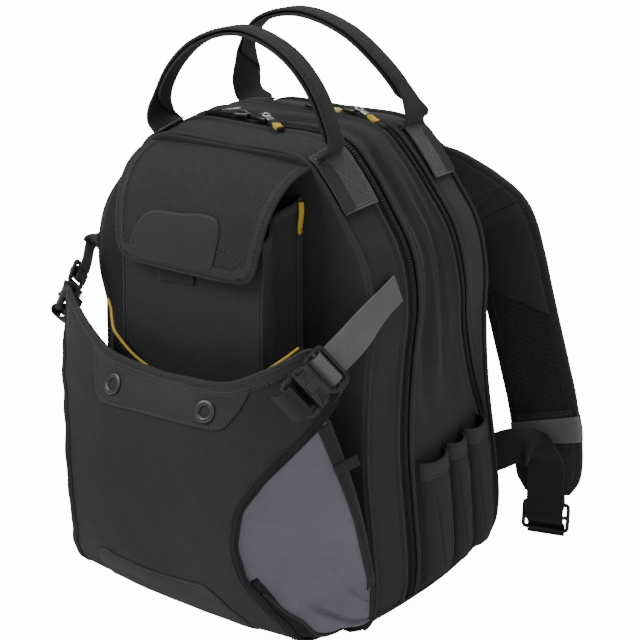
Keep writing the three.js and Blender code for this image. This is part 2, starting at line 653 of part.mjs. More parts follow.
function pouchGrid() {
  const rimRow = POUCH.length - 1;
  return POUCH.map((row, i) =>
    POUCH_COLUMNS.map((u) => {
      const across = Math.abs(u);
      const toEdge = across ** 3;
      let ahead = row.midAhead + (row.edgeAhead - row.midAhead) * toEdge;
      let up = row.midUp + (row.edgeUp - row.midUp) * across * across;
      if (i === rimRow) {
        ahead = lookUp(RIM, "across", across, "ahead");
        up = lookUp(RIM, "across", across, "up");
      }
      const x = row.edgeOut * POUCH_HALF_WIDTH * u;
      return new THREE.Vector3(x, ON_FRONT - ahead * POUCH_REACH, up * POUCH_HEIGHT);
    }),
  );
}

const pouch = pouchGrid();
const pouchNormals = gridNormals(pouch).map((row) => row.map((n) => n.negate()));

// Point and normal in the middle of the pouch's eyelet cell on one side.
function eyeletFrame(side) {
  const { row, column } = EYELET_CELLS[side];
  const at = new THREE.Vector3();
  const normal = new THREE.Vector3();
  [[0, 0], [0, 1], [1, 0], [1, 1]].forEach(([i, j]) => {
    at.addScaledVector(pouch[row + i][column + j], 0.25);
    normal.addScaledVector(pouchNormals[row + i][column + j], 0.25);
  });
  return { at, normal: normal.normalize() };
}

// A patch of cloth over a range of a grid's cells, just off its face.
function patchOver(grid, normals, { fromRow, toRow, fromColumn, toColumn }) {
  const sheet = (distance) =>
    offsetGrid(grid, normals, distance)
      .slice(fromRow, toRow + 1)
      .map((row) => row.slice(fromColumn, toColumn + 1));
  return wallBetween(sheet(SEAM_GAP + PATCH_CLOTH), sheet(SEAM_GAP));
}

function eyeletHole(side) {
  const { at, normal } = eyeletFrame(side);
  const cutter = new THREE.CylinderGeometry(1, 1, 12 * CLOTH, EYELET_SIDES);
  const radius = EYELET_BORE + EYELET_TUBE_WALL + SEAM_GAP;
  cutter.scale(radius, 1, radius);
  cutter.deleteAttribute("normal");
  cutter.deleteAttribute("uv");
  const turn = new THREE.Quaternion().setFromUnitVectors(new THREE.Vector3(0, 1, 0), normal);
  cutter.applyQuaternion(turn);
  cutter.translate(at.x, at.y, at.z);
  return toManifold(cutter);
}

function makePouch() {
  const inner = offsetGrid(pouch, pouchNormals, -CLOTH);
  const holes = Object.keys(EYELET_CELLS).map(eyeletHole);
  const pierce = (geometry) =>
    fromManifold(holes.reduce((solid, hole) => solid.subtract(hole), toManifold(geometry)));
  place("pouch_panel", pierce(wallBetween(pouch, inner)), blackCloth);
  place("mouth_patch", pierce(patchOver(pouch, pouchNormals, MOUTH_PATCH)), blackCloth);
  place("lower_patch", patchOver(pouch, pouchNormals, LOWER_PATCH), blackCloth);

  // Eyelets: a tube with a flange on each face of the cloth
  const front = PATCH_CLOTH + 2.5 * SEAM_GAP;
  const back = -CLOTH - 1.5 * SEAM_GAP;
  const tube = EYELET_BORE + EYELET_TUBE_WALL;
  const profile = [
    [EYELET_BORE, back - EYELET_FLANGE_THICKNESS],
    [EYELET_FLANGE, back - EYELET_FLANGE_THICKNESS],
    [EYELET_FLANGE, back],
    [tube, back],
    [tube, front],
    [EYELET_FLANGE, front],
    [EYELET_FLANGE - EYELET_BEVEL, front + EYELET_FLANGE_THICKNESS],
    [EYELET_BORE, front + EYELET_FLANGE_THICKNESS],
    [EYELET_BORE, back - EYELET_FLANGE_THICKNESS],
  ].map(([x, y]) => new THREE.Vector2(x, y));
  Object.keys(EYELET_CELLS).forEach((side) => {
    const { at, normal } = eyeletFrame(side);
    const eyelet = place("eyelet_" + side, new THREE.LatheGeometry(profile, EYELET_SIDES), steel);
    eyelet.position.copy(at);
    eyelet.quaternion.setFromUnitVectors(new THREE.Vector3(0, 1, 0), normal);
  });
}

// The grey gusset between the pouch panel's side edge and the front seam: a leaf that bellies out.
function makeGusset() {
  const lastRow = POUCH.length - 2;
  const column = POUCH_LAST_COLUMN;
  const acrossSteps = steps(0, 1, 5);
  const inset = new THREE.Vector3(-1, 0, 0);
  const front = [];
  for (let i = lastRow; i >= 0; i--) {
    const edge = pouch[i][column].clone().addScaledVector(pouchNormals[i][column], -GUSSET_TUCK);
    front.push(edge.add(inset));
  }
  const bottom = front[front.length - 1].z;
  const rear = front.map((_, i) => {
    const z = GUSSET_TOP + (bottom - GUSSET_TOP) * (i / (front.length - 1));
    const side = bodyPoint(shareAtHeight(z), FRONT_Y, 0).x;
    return new THREE.Vector3(side - 0.5, ON_FRONT, z);
  });
  const grid = front.map((f, i) =>
    acrossSteps.map((t) => {
      const p = f.clone().lerp(rear[i], t);
      const along = i / (front.length - 1);
      p.x += GUSSET_BULGE * Math.sin(Math.PI * t) * Math.sin(Math.PI * (0.15 + 0.85 * along));
      return p;
    }),
  );
  const normals = gridNormals(grid);
  const outward = normals[4][2].x > 0 ? 1 : -1;
  const inner = offsetGrid(grid, normals, -outward * GUSSET_CLOTH);
  // The wall stays ahead of the front panel, and its front edge keeps its depth behind the pouch panel.
  inner.forEach((row, i) => {
    row.forEach((p) => {
      p.y = Math.min(p.y, ON_FRONT);
    });
    row[0].y = Math.max(row[0].y, grid[i][0].y);
  });
  placePair("pouch_gusset", wallBetween(grid, inner), greyCloth);
}

// The box pocket on the front panel: it wraps forward from the panel, down its front and back under.
function pocketPath(share, depth) {
  const corner = POCKET_CORNER;
  const flatSide = depth - corner;
  const flatFront = 2 * (POCKET_HALF_WIDTH - corner);
  const quarter = (Math.PI * corner) / 2;
  // The path is the same on both sides, so it is followed from the nearer end
  const total = 2 * flatSide + flatFront + 2 * quarter;
  const side = share < 0.5 ? -1 : 1;
  const d = Math.min(share, 1 - share) * total;
  if (d < flatSide) return { x: side * POCKET_HALF_WIDTH, ahead: d };
  const round = Math.min(1, (d - flatSide) / quarter) * (Math.PI / 2);
  const along = Math.max(0, d - flatSide - quarter);
  const x = POCKET_HALF_WIDTH - corner + corner * Math.cos(round) - along;
  return { x: side * x, ahead: flatSide + corner * Math.sin(round) };
}

// How far the pocket's wall stands out at a share of its path and of its height.
function pocketBulge(share, up) {
  return POCKET_BULGE * Math.sin(Math.PI * share) * Math.sin(Math.PI * Math.min(1, up + 0.1));
}

function makeBoxPocket() {
  const across = [0, 0.1, 0.2, 0.25, 0.3, 0.4, 0.5, 0.6, 0.7, 0.75, 0.8, 0.9, 1];
  const ups = [0, 0.25, 0.5, 0.75, 1];
  const grid = (wall) => {
    const under = across.map((s) => {
      const p = pocketPath(s, POCKET_DEPTH - wall);
      return new THREE.Vector3(p.x * (1 - wall / POCKET_HALF_WIDTH), ON_FRONT, POCKET_BOTTOM + wall);
    });
    const rows = ups.map((up) =>
      across.map((s) => {
        const p = pocketPath(s, POCKET_DEPTH - wall);
        const sideRise = POCKET_SIDE_RISE * (1 - p.ahead / POCKET_DEPTH) * up;
        const z = POCKET_BOTTOM + wall * (1 - up) + (POCKET_TOP - POCKET_BOTTOM) * up + sideRise;
        const y = ON_FRONT - p.ahead - pocketBulge(s, up);
        return new THREE.Vector3(p.x * (1 - wall / POCKET_HALF_WIDTH), y, z);
      }),
    );
    return [under, ...rows];
  };
  place("box_pocket", wallBetween(grid(0), grid(CLOTH)), blackCloth);
  const frontY = ON_FRONT - POCKET_DEPTH;
  const loop = new THREE.BoxGeometry(LOOP_WIDTH, LOOP_THICKNESS, LOOP_HEIGHT);
  const loopZ = POCKET_TOP - 0.5 * FLAP_DROP;
  const loopUp = (loopZ - LOOP_HEIGHT / 2 - POCKET_BOTTOM) / (POCKET_TOP - POCKET_BOTTOM);
  loop.translate(0, frontY - pocketBulge(0.5, loopUp) - SEAM_GAP - LOOP_THICKNESS / 2, loopZ);
  place("flap_loop", loop, blackWebbing);
  const label = new THREE.BoxGeometry(LABEL_THICKNESS, LABEL_WIDTH, LABEL_HEIGHT);
  const labelX = POCKET_HALF_WIDTH + SEAM_GAP + LABEL_THICKNESS / 2;
  const labelZ = POCKET_TOP + POCKET_SIDE_RISE - LABEL_DROP - LABEL_HEIGHT / 2;
  label.translate(labelX, ON_FRONT - LABEL_WIDTH / 2 - 1, labelZ);
  place("side_label", label, yellowTape);
}

function makeFlap() {
  const across = [-1, -0.8, -0.6, -0.3, 0, 0.3, 0.6, 0.8, 1];
  const seamZ = 0.99 * BODY_HEIGHT;
  const grid = FLAP.map((row) =>
    across.map((u) => {
      const droop = 2.5 * u ** 4 * row.drop;
      const fall = 3.5 * u * u * (1 - row.drop);
      const x = row.out * FLAP_HALF_WIDTH * u;
      const y = FRONT_Y - row.ahead * FLAP_REACH + droop;
      return new THREE.Vector3(x, y, seamZ - fall - row.drop * FLAP_DROP);
    }),
  );
  const normals = gridNormals(grid);
  if (normals[4][4].y > 0) normals.forEach((row) => row.forEach((n) => n.negate()));
  place("flap", wallBetween(grid, offsetGrid(grid, normals, -CLOTH)), blackCloth);
  place("flap_patch", patchOver(grid, normals, FLAP_PATCH), blackCloth);
}

// A flat pocket inside the pouch, on the front panel's lower part, with a scooped rim.
function makeDivider() {
  const across = [-1, -0.88, -0.76, -0.5, 0, 0.5, 0.76, 0.88, 1];
  const ups = [0, 0.25, 0.48, 0.62, 0.8, 1];
  const frontOfPocket = POCKET_DEPTH + POCKET_BULGE + 2 * SEAM_GAP + CLOTH;
  const grid = (wall) =>
    ups.map((up) =>
      across.map((u) => {
        const past = THREE.MathUtils.smoothstep(Math.abs(u), 0.76, 1);
        const out = THREE.MathUtils.smoothstep(up, 0, 0.48) * (frontOfPocket - DIVIDER_HOLLOW * past);
        const top = DIVIDER_HEIGHT - DIVIDER_DIP * (1 - u * u);
        const z = DIVIDER_FOOT + (top - DIVIDER_FOOT) * up;
        const x = (DIVIDER_HALF_WIDTH + DIVIDER_FLARE * (1 - up)) * u;
        return new THREE.Vector3(x, ON_FRONT - CLOTH - out + wall, z);
      }),
    );
  place("pouch_divider", wallBetween(grid(0), grid(CLOTH)), blackCloth);
}

// The section of a padded bar at a station, as a loop of points. A station is a centre with its width and
// thickness directions and their half sizes.
function sectionLoop(st) {
  return steps(0, 1, BAR_CORNERS)
    .slice(0, BAR_CORNERS)
    .map((share) => {
      const a = 2 * Math.PI * (share + 0.5 / BAR_CORNERS);
      const c = Math.cos(a);
      const s = Math.sin(a);
      const w = Math.sign(c) * Math.abs(c) ** SQUARENESS * st.halfWidth;
      const t = Math.sign(s) * Math.abs(s) ** SQUARENESS * st.halfThickness;
      return st.at.clone().addScaledVector(st.widthAxis, w).addScaledVector(st.thickAxis, t);
    });
}

// Stations along a curve. widthAxis(share) is made square to the path.
function stationsAlong(curve, count, widthAxis, halfWidth, halfThickness) {
  return steps(0, 1, count).map((share) => {
    const at = curve.getPointAt(share);
    const tangent = curve.getTangentAt(share);
    const width = widthAxis(share).clone();
    width.addScaledVector(tangent, -width.dot(tangent)).normalize();
    return {
      at,
      widthAxis: width,
      thickAxis: tangent.clone().cross(width).normalize(),
      halfWidth: halfWidth(share),
      halfThickness: halfThickness(share),
    };
  });
}

// Carry handle: webbing sewn down both shoulders and folded into a round grip over the middle.
function makeHandle({ name, foot, grip, drift, arch }) {
  const depthAt = (share) => share * (share < 0 ? FRONT_DEPTH : REAR_DEPTH);
  const footDepth = depthAt(foot);
  const topZ = BODY_HEIGHT * 0.985;
  const footTop = shareAtHeight(topZ);
  const footLow = shareAtHeight(topZ - HANDLE_FOOT);
  const across = [-1, -0.55, 0, 0.55, 1];
  const footRows = steps(footLow, footTop, 3).map((s) => {
    const row = (lift) => across.map((u) => bodyPoint(s, footDepth + (u * HANDLE_WIDTH) / 2, lift));
    return { outer: row(SEAM_GAP + HANDLE_THICKNESS), inner: row(SEAM_GAP) };
  });
  const archPoint = (row, side) => {
    const x = side * row.out * BODY_HALF_WIDTH + drift * HANDLE_RISE * row.rise;
    const y = footDepth + (depthAt(grip) - footDepth) * row.lean;
    return new THREE.Vector3(x, y, topZ + row.rise * HANDLE_RISE);
  };
  const rightArch = arch.map((row) => archPoint(row, 1));
  const leftArch = arch
    .slice(0, -1)
    .reverse()
    .map((row) => archPoint(row, -1));
  const root = bodyPoint(footTop, footDepth, SEAM_GAP + HANDLE_THICKNESS / 2);
  const otherRoot = new THREE.Vector3(-root.x, root.y, root.z);
  const path = [root, ...rightArch, ...leftArch, otherRoot];
  const curve = new THREE.CatmullRomCurve3(path, false, "centripetal");
  const folded = (share) => THREE.MathUtils.smoothstep(Math.min(share, 1 - share), 0.02, 0.2);
  const archRows = stationsAlong(
    curve,
    19,
    () => new THREE.Vector3(0, 1, 0),
    (share) => THREE.MathUtils.lerp(HANDLE_WIDTH, GRIP_WIDTH, folded(share)) / 2,
    (share) => THREE.MathUtils.lerp(HANDLE_THICKNESS, GRIP_THICKNESS, folded(share)) / 2,
  )
    .slice(1, -1)
    .map((st, i, all) => {
      const round = folded((i + 1) / (all.length + 1));
      const row = (side) =>
        across.map((u) => {
          const thin = 1 - 0.75 * round * u * u;
          return st.at
            .clone()
            .addScaledVector(st.widthAxis, u * st.halfWidth)
            .addScaledVector(st.thickAxis, side * thin * st.halfThickness);
        });
      return { outer: row(1), inner: row(-1) };
    });
  const mirror = (row) => row.map((p) => new THREE.Vector3(-p.x, p.y, p.z));
  const otherFoot = footRows.map((row) => ({ outer: mirror(row.outer), inner: mirror(row.inner) })).reverse();
  const rows = [...footRows, ...archRows, ...otherFoot];
  place(name, wallBetween(rows.map((row) => row.outer), rows.map((row) => row.inner)), blackWebbing);
}

// Shoulder strap on the right side
const strapPoints = STRAP.map((row) => {
  const z = row.up * BODY_HEIGHT;
  const onPanel = rearY(z) + CLOTH + 3.5 * SEAM_GAP + (row.thick * STRAP_THICKNESS) / 2;
  return new THREE.Vector3(row.out * BODY_HALF_WIDTH, Math.max(onPanel, row.back * REAR_DEPTH), z);
});
const strapCurve = new THREE.CatmullRomCurve3(strapPoints, false, "centripetal");

// A column of the STRAP table at a share of the strap's length.
function strapColumn(share, column) {
  const at = strapCurve.getUtoTmapping(share) * (STRAP.length - 1);
  const i = Math.min(Math.floor(at), STRAP.length - 2);
  return THREE.MathUtils.lerp(STRAP[i][column], STRAP[i + 1][column], at - i);
}

// Direction of the strap's width: square to its path and turned from the X axis.
function strapWidthAxis(share, tangent) {
  const turn = THREE.MathUtils.degToRad(strapColumn(share, "turn"));
  return tangent.clone().cross(new THREE.Vector3(-Math.sin(turn), Math.cos(turn), 0)).normalize();
}

function strapStations(fromShare, toShare, count, grow) {
  return steps(fromShare, toShare, count).map((share) => {
    const at = strapCurve.getPointAt(share);
    const tangent = strapCurve.getTangentAt(share);
    const widthAxis = strapWidthAxis(share, tangent);
    return {
      at,
      tangent,
      widthAxis,
      thickAxis: tangent.clone().cross(widthAxis).normalize(),
      halfWidth: (strapColumn(share, "wide") * STRAP_WIDTH) / 2 + grow,
      halfThickness: (strapColumn(share, "thick") * STRAP_THICKNESS) / 2 + grow,
    };
  });
}

function makeShoulderStrap() {
  placePair("shoulder_strap", skinLoops(strapStations(0, 1, 21, 0).map(sectionLoop)), blackCloth);
  // The elastic keeper is a closed loop round the pad
  const low = KEEPER_SHARE;
  const high = low - KEEPER_WIDTH / strapCurve.getLength();
  const ring = (share, grow) => sectionLoop(strapStations(share, share, 1, grow)[0]);
  const inner = SEAM_GAP;
  const outer = SEAM_GAP + WEBBING_THICKNESS;
  const loops = [ring(low, inner), ring(low, outer), ring(high, outer), ring(high, inner)];
  placePair("strap_keeper", skinLoops(loops, true), greyWebbing);
}

// A frame of three bars for webbing, in a local frame: length along Y, width along X, thickness along Z.
function ladderFrame(width, length, thickness, bar, rail) {
  const shape = new THREE.Shape();
  const w = width / 2;
  const l = length / 2;
  const chamfer = bar / 2;
  const corners = [
    [-w + chamfer, -l],
    [w - chamfer, -l],
    [w, -l + chamfer],
    [w, l - chamfer],
    [w - chamfer, l],
    [-w + chamfer, l],
    [-w, l - chamfer],
    [-w, -l + chamfer],
  ].map(([x, y]) => new THREE.Vector2(x, y));
  shape.setFromPoints(corners);
  const slot = (length - 3 * bar) / 2;
  [-l + bar, bar / 2].forEach((y) => {
    const hole = new THREE.Path();
    hole.setFromPoints(
      [
        [-w + rail, y],
        [-w + rail, y + slot],
        [w - rail, y + slot],
        [w - rail, y],
      ].map(([a, b]) => new THREE.Vector2(a, b)),
    );
    shape.holes.push(hole);
  });
  const g = new THREE.ExtrudeGeometry(shape, { depth: thickness, bevelEnabled: false });
  g.translate(0, 0, -thickness / 2);
  return g;
}

// A matrix from a local frame (X width, Y length, Z out) at a point.
function frameAt(at, along, outward) {
  const y = along.clone().normalize();
  const z = outward.clone().addScaledVector(y, -outward.dot(y)).normalize();
  const x = y.clone().cross(z);
  return new THREE.Matrix4().makeBasis(x, y, z).setPosition(at);
}

// Webbing as a flat bar along a list of points with a width direction at each.
function webbing(points, widthAxes, width, count) {
  const curve = new THREE.CatmullRomCurve3(points, false, "centripetal");
  const axisAt = (share) => {
    const t = curve.getUtoTmapping(share) * (points.length - 1);
    const i = Math.min(Math.floor(t), points.length - 2);
    return widthAxes[i].clone().lerp(widthAxes[i + 1], t - i);
  };
  const stations = stationsAlong(curve, count, axisAt, () => width / 2, () => WEBBING_THICKNESS / 2);
  const loops = stations.map((st) =>
    [[1, 1], [-1, 1], [-1, -1], [1, -1]].map(([a, b]) =>
      st.at
        .clone()
        .addScaledVector(st.widthAxis, a * st.halfWidth)
        .addScaledVector(st.thickAxis, b * st.halfThickness),
    ),
  );
  return skinLoops(loops);
}

// Where webbing passes a bar: its middle lies this far from the middle of the frame.
const passing = (thickness) => thickness / 2 + SEAM_GAP + WEBBING_THICKNESS / 2;

// Ladder lock under the pad, the tab that holds it and the webbing from the body's lower corner.
function makeStrapEnd() {
  const end = strapStations(1, 1, 1, 0)[0];
  const down = end.tangent;
  const outward = end.thickAxis.clone();
  if (outward.y > 0) outward.negate();
  const slot = (LOCK_LENGTH - 3 * LADDER_BAR) / 2;
  const rise = passing(LADDER_THICKNESS);
  const lockAt = end.at.clone().addScaledVector(down, TAB_LENGTH + LOCK_LENGTH / 2);
  const matrix = frameAt(lockAt, down, outward);
  const lock = ladderFrame(LOCK_WIDTH, LOCK_LENGTH, LADDER_THICKNESS, LADDER_BAR, LADDER_BAR);
  lock.applyMatrix4(matrix);
  placePair("ladder_lock", lock, blackPlastic);

  const local = (along, out) => new THREE.Vector3(0, along, out).applyMatrix4(matrix);
  const side = new THREE.Vector3(1, 0, 0).transformDirection(matrix);
  const top = -LOCK_LENGTH / 2;
  // The tab runs down behind the top bar, through the first slot and back up in front of it
  const tab = [
    local(top - TAB_LENGTH + SEAM_GAP, 0),
    local(top - TAB_LENGTH / 2, -rise / 2),
    local(top + 1, -rise),
    local(top + LADDER_BAR, -rise),
    local(top + LADDER_BAR + 2.2, 0),
    local(top + LADDER_BAR, rise),
    local(top + 1, rise),
    local(top - 6, rise),
  ];
  placePair("strap_tab", webbing(tab, tab.map(() => side), TAB_WIDTH, 16), blackWebbing);

  // The webbing comes off the back, turns over and drops in front of the pad, then through the second slot
  const seat = rearY(LOWER_WEBBING_HEIGHT) + CLOTH + 2 * SEAM_GAP + WEBBING_THICKNESS / 2;
  const start = new THREE.Vector3(BACK_PAD_HALF_WIDTH + 3, seat, LOWER_WEBBING_HEIGHT);
  const past = rise + WEBBING_THICKNESS + SEAM_GAP;
  const slotTwo = LADDER_BAR / 2 + slot / 2;
  const fromBack = LOWER_WEBBING.map((row) => ({
    at: start.clone().add(new THREE.Vector3(row.out, row.back, row.up)),
    axis: new THREE.Vector3().copy(row.axis),
  }));
  const turned = side.clone().negate();
  const throughLock = [
    ...WEBBING_DROP.map((row) => local(top - row.above, past + row.clear)),
    local(slotTwo - BAR_TURN, rise),
    local(slotTwo, 0),
    local(slotTwo + BAR_TURN, -rise),
    local(LOCK_LENGTH / 2 + 4, -rise),
  ].map((at) => ({ at, axis: turned }));
  const route = [...fromBack, ...throughLock];
  const belt = webbing(route.map((r) => r.at), route.map((r) => r.axis), LOWER_WEBBING_WIDTH, 30);
  placePair("lower_webbing", belt, blackWebbing);
}

// Compression strap from the side seam to the wing: sewn end, ladder with plug, socket and the loop on the
// wing.
function makeCompression({ name, out, ahead, up, drop, along, face }) {
  const at = new THREE.Vector3(out * POUCH_HALF_WIDTH, ON_FRONT - ahead * POUCH_REACH, up * POUCH_HEIGHT);
  const matrix = frameAt(at, new THREE.Vector3().copy(along), new THREE.Vector3().copy(face));
  const placeSide = (piece, geometry, finish) =>
    place(piece + "_" + name, name === "left" ? mirrored(geometry) : geometry, finish);
  const local = (y, z) => new THREE.Vector3(0, y, z).applyMatrix4(matrix);
  const side = new THREE.Vector3(1, 0, 0).transformDirection(matrix);
  const halfBuckle = BUCKLE_WIDTH / 2;
  const ladder = ladderFrame(BUCKLE_WIDTH, BUCKLE_LADDER_LENGTH, LADDER_THICKNESS, LADDER_BAR, LADDER_BAR);
  ladder.translate(0, -BUCKLE_LADDER_LENGTH / 2, 0);
  ladder.applyMatrix4(matrix);
  placeSide("buckle_plug", ladder, blackPlastic);

  // Socket outline: waisted where the two prongs show, with a slot at its far end
  const shape = new THREE.Shape();
  const length = BUCKLE_SOCKET_LENGTH;
  const rightEdge = [
    { inset: 3, along: 0 },
    { inset: 5, along: 0.2 },
    { inset: 5, along: 0.42 },
    { inset: 0, along: 0.52 },
    { inset: 0, along: 0.9 },
    { inset: 3, along: 1 },
  ];
  const corner = (side, row) => new THREE.Vector2(side * (halfBuckle - row.inset), row.along * length);
  const leftEdge = [...rightEdge].reverse();
  shape.setFromPoints([...rightEdge.map((row) => corner(1, row)), ...leftEdge.map((row) => corner(-1, row))]);
  const hole = new THREE.Path();
  const slotFrom = length - LADDER_BAR - 6;
  const slotTo = length - LADDER_BAR;
  const rail = halfBuckle - LADDER_BAR;
  const slotCorners = [
    [-rail, slotFrom],
    [-rail, slotTo],
    [rail, slotTo],
    [rail, slotFrom],
  ];
  hole.setFromPoints(slotCorners.map(([x, y]) => new THREE.Vector2(x, y)));
  shape.holes.push(hole);
  const socket = new THREE.ExtrudeGeometry(shape, { depth: BUCKLE_THICKNESS, bevelEnabled: false });
  socket.translate(0, SEAM_GAP, -BUCKLE_THICKNESS / 2);
  socket.applyMatrix4(matrix);
  placeSide("buckle_socket", socket, blackPlastic);

  // Grey webbing: sewn on the side of the body, then free to the ladder, under its end bar and over its
  // middle bar
  const rise = passing(LADDER_THICKNESS);
  const lift = SEAM_GAP + WEBBING_THICKNESS / 2;
  const sewn = (z, y, gap) => bodyPoint(shareAtHeight(z), y, lift + gap);
  const ladderTop = -BUCKLE_LADDER_LENGTH;
  const slot = (BUCKLE_LADDER_LENGTH - 3 * LADDER_BAR) / 2;
  const firstSlot = ladderTop + LADDER_BAR + slot / 2;
  const secondSlot = -LADDER_BAR - slot / 2;
  const points = SEWN_END.map((row) => {
    const y = THREE.MathUtils.lerp(STRAP_SEAM_DEPTH, FRONT_Y, row.ahead);
    return sewn(STRAP_SEAM_HEIGHT - row.below, y, row.gap);
  });
  const axes = SEWN_END.map((row) => new THREE.Vector3().copy(row.axis));
  const turned = side.clone().multiplyScalar(side.z > 0 ? -1 : 1);
  [
    local(ladderTop - FREE_END, -1),
    local(ladderTop - 3, -rise),
    local(firstSlot - BAR_TURN, -rise),
    local(firstSlot, 0),
    local(firstSlot + BAR_TURN, rise),
    local(secondSlot - BAR_TURN, rise),
    local(secondSlot, 0),
    local(secondSlot + 1, -rise),
    local(secondSlot - 8, -rise - WEBBING_THICKNESS / 2),
  ].forEach((p) => {
    points.push(p);
    axes.push(turned);
  });
  placeSide("compression_strap", webbing(points, axes, COMPRESSION_WIDTH, 30), greyWebbing);

  // Black webbing: sewn on the wing under the buckle and past it, over the socket's end bar
  const thickest = passing(BUCKLE_THICKNESS);
  const slotMiddle = SEAM_GAP + (slotFrom + slotTo) / 2;
  const loop = [
    local(slotMiddle - 12, -thickest - 2),
    local(slotMiddle - 3, -thickest - 0.5),
    local(slotMiddle, 0),
    local(slotMiddle + 2.5, thickest),
    local(length + 1.5, thickest),
    local(length + 5, 0),
    local(length + 3, -thickest - 3 - drop * BUCKLE_THICKNESS),
  ];
  placeSide("wing_loop", webbing(loop, loop.map(() => side), COMPRESSION_WIDTH, 18), blackWebbing);
}

// Side sleeve pockets: walls that stand off the main band, closed at the bottom and open at the top
function makeSleeves() {
  const plan = [
    { across: 0, out: 0 },
    { across: 0.05, out: 0.72 },
    { across: 0.22, out: 0.95 },
    { across: 0.5, out: 1 },
    { across: 0.78, out: 0.95 },
    { across: 0.95, out: 0.72 },
    { across: 1, out: 0 },
  ];
  const rows = [
    { up: 0, out: 0 },
    { up: 0.04, out: 0.7 },
    { up: 0.15, out: 0.85 },
    { up: 0.5, out: 0.92 },
    { up: 0.85, out: 0.98 },
    { up: 1, out: 1 },
  ];
  const bandFrom = afterZip(zip1Y)();
  const bandTo = beforeZip(zip2Y);
  SLEEVES.forEach((sleeve, number) => {
    const height = (SLEEVE_TOP - SLEEVE_BOTTOM) * sleeve.rise;
    const grid = (wall) =>
      rows.map((row) => {
        const z = SLEEVE_BOTTOM + height * row.up + (row.up < 1 ? wall * (1 - row.up) : 0);
        const width = bandTo(z) - bandFrom;
        const s = shareAtHeight(z);
        return plan.map((column) => {
          const share = sleeve.from + (sleeve.to - sleeve.from) * column.across;
          const inward = wall * (1 - 2 * column.across);
          const clear = column.out > 0 && row.out > 0 ? wall : 0;
          const stand = Math.max(0, sleeve.bulge * column.out * row.out - clear);
          return bodyPoint(s, bandFrom + width * share + inward, SLEEVE_SEAT + stand);
        });
      });
    placePair("sleeve_" + (number + 1), wallBetween(grid(0), grid(SLEEVE_CLOTH)), blackCloth);
  });
}

// Zip sliders with their pulls, lying on the zips over the top of the body
function makeSliders() {
  const pullWithSlider = PULL_LENGTH + SLIDER_LENGTH - PULL_OVERLAP + SEAM_GAP;
  SLIDERS.forEach(({ name, zip, out, past, lay, swing }) => {
    const depthAt = zip === "front" ? zip1Y : zip2Y;
    const shareAtX = (x) => {
      let low = 0.3;
      let high = 0.7;
      for (let i = 0; i < 40; i++) {
        const middle = (low + high) / 2;
        if (outlineAt(middle).x > x) low = middle;
        else high = middle;
      }
      return low;
    };
    const onZip = (x, lift, ahead = 0) => {
      const s = shareAtX(x);
      return bodyPoint(s, depthAt(outlineAt(s).z) + ahead, ZIP_COIL_RISE - ZIP_RECESS + SEAM_GAP + lift);
    };
    const x = out * BODY_HALF_WIDTH + past * pullWithSlider;
    const up = new THREE.Vector3(0, 0, 1);
    const slope = onZip(x + lay, 0).sub(onZip(x - lay, 0));
    const slider = new THREE.CylinderGeometry(0.42 * SLIDER_WIDTH, 0.5 * SLIDER_WIDTH, SLIDER_LENGTH, 8);
    slider.rotateY(Math.PI / 8);
    slider.scale(1, 1, SLIDER_HEIGHT / SLIDER_WIDTH);
    slider.applyMatrix4(frameAt(onZip(x, SLIDER_HEIGHT / 2 + 0.2), slope, up));
    place("slider_" + name, closed(slider), steel);

    const angle = THREE.MathUtils.degToRad(swing);
    const spot = (distance, lift) =>
      onZip(x + lay * distance * Math.cos(angle), lift + PULL_THICKNESS / 2, distance * Math.sin(angle));
    // One end lies over the slider, the other on the zip
    const start = SLIDER_LENGTH / 2 - PULL_OVERLAP;
    const overSlider = spot(start, SLIDER_HEIGHT + 3 * SEAM_GAP);
    const onTape = spot(start + PULL_LENGTH, 0);
    const pull = new THREE.BoxGeometry(PULL_WIDTH, PULL_LENGTH, PULL_THICKNESS);
    const middle = overSlider.clone().lerp(onTape, 0.5);
    pull.applyMatrix4(frameAt(middle, onTape.clone().sub(overSlider), up));
    place("pull_" + name, closed(pull), steel);
  });
}

// The same solid with shared corners.
function closed(geometry) {
  return fromManifold(toManifold(geometry));
}

makeBody();
makeBackPad();
makePouch();
makeGusset();
makeDivider();
makeBoxPocket();
makeFlap();
HANDLES.forEach(makeHandle);
makeShoulderStrap();
makeStrapEnd();
BUCKLES.forEach(makeCompression);
makeSleeves();
makeSliders();

export default backpack;
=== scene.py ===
"""The looks of a tool backpack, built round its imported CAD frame. Lengths are in millimetres
until a mesh is made."""
import json
import math

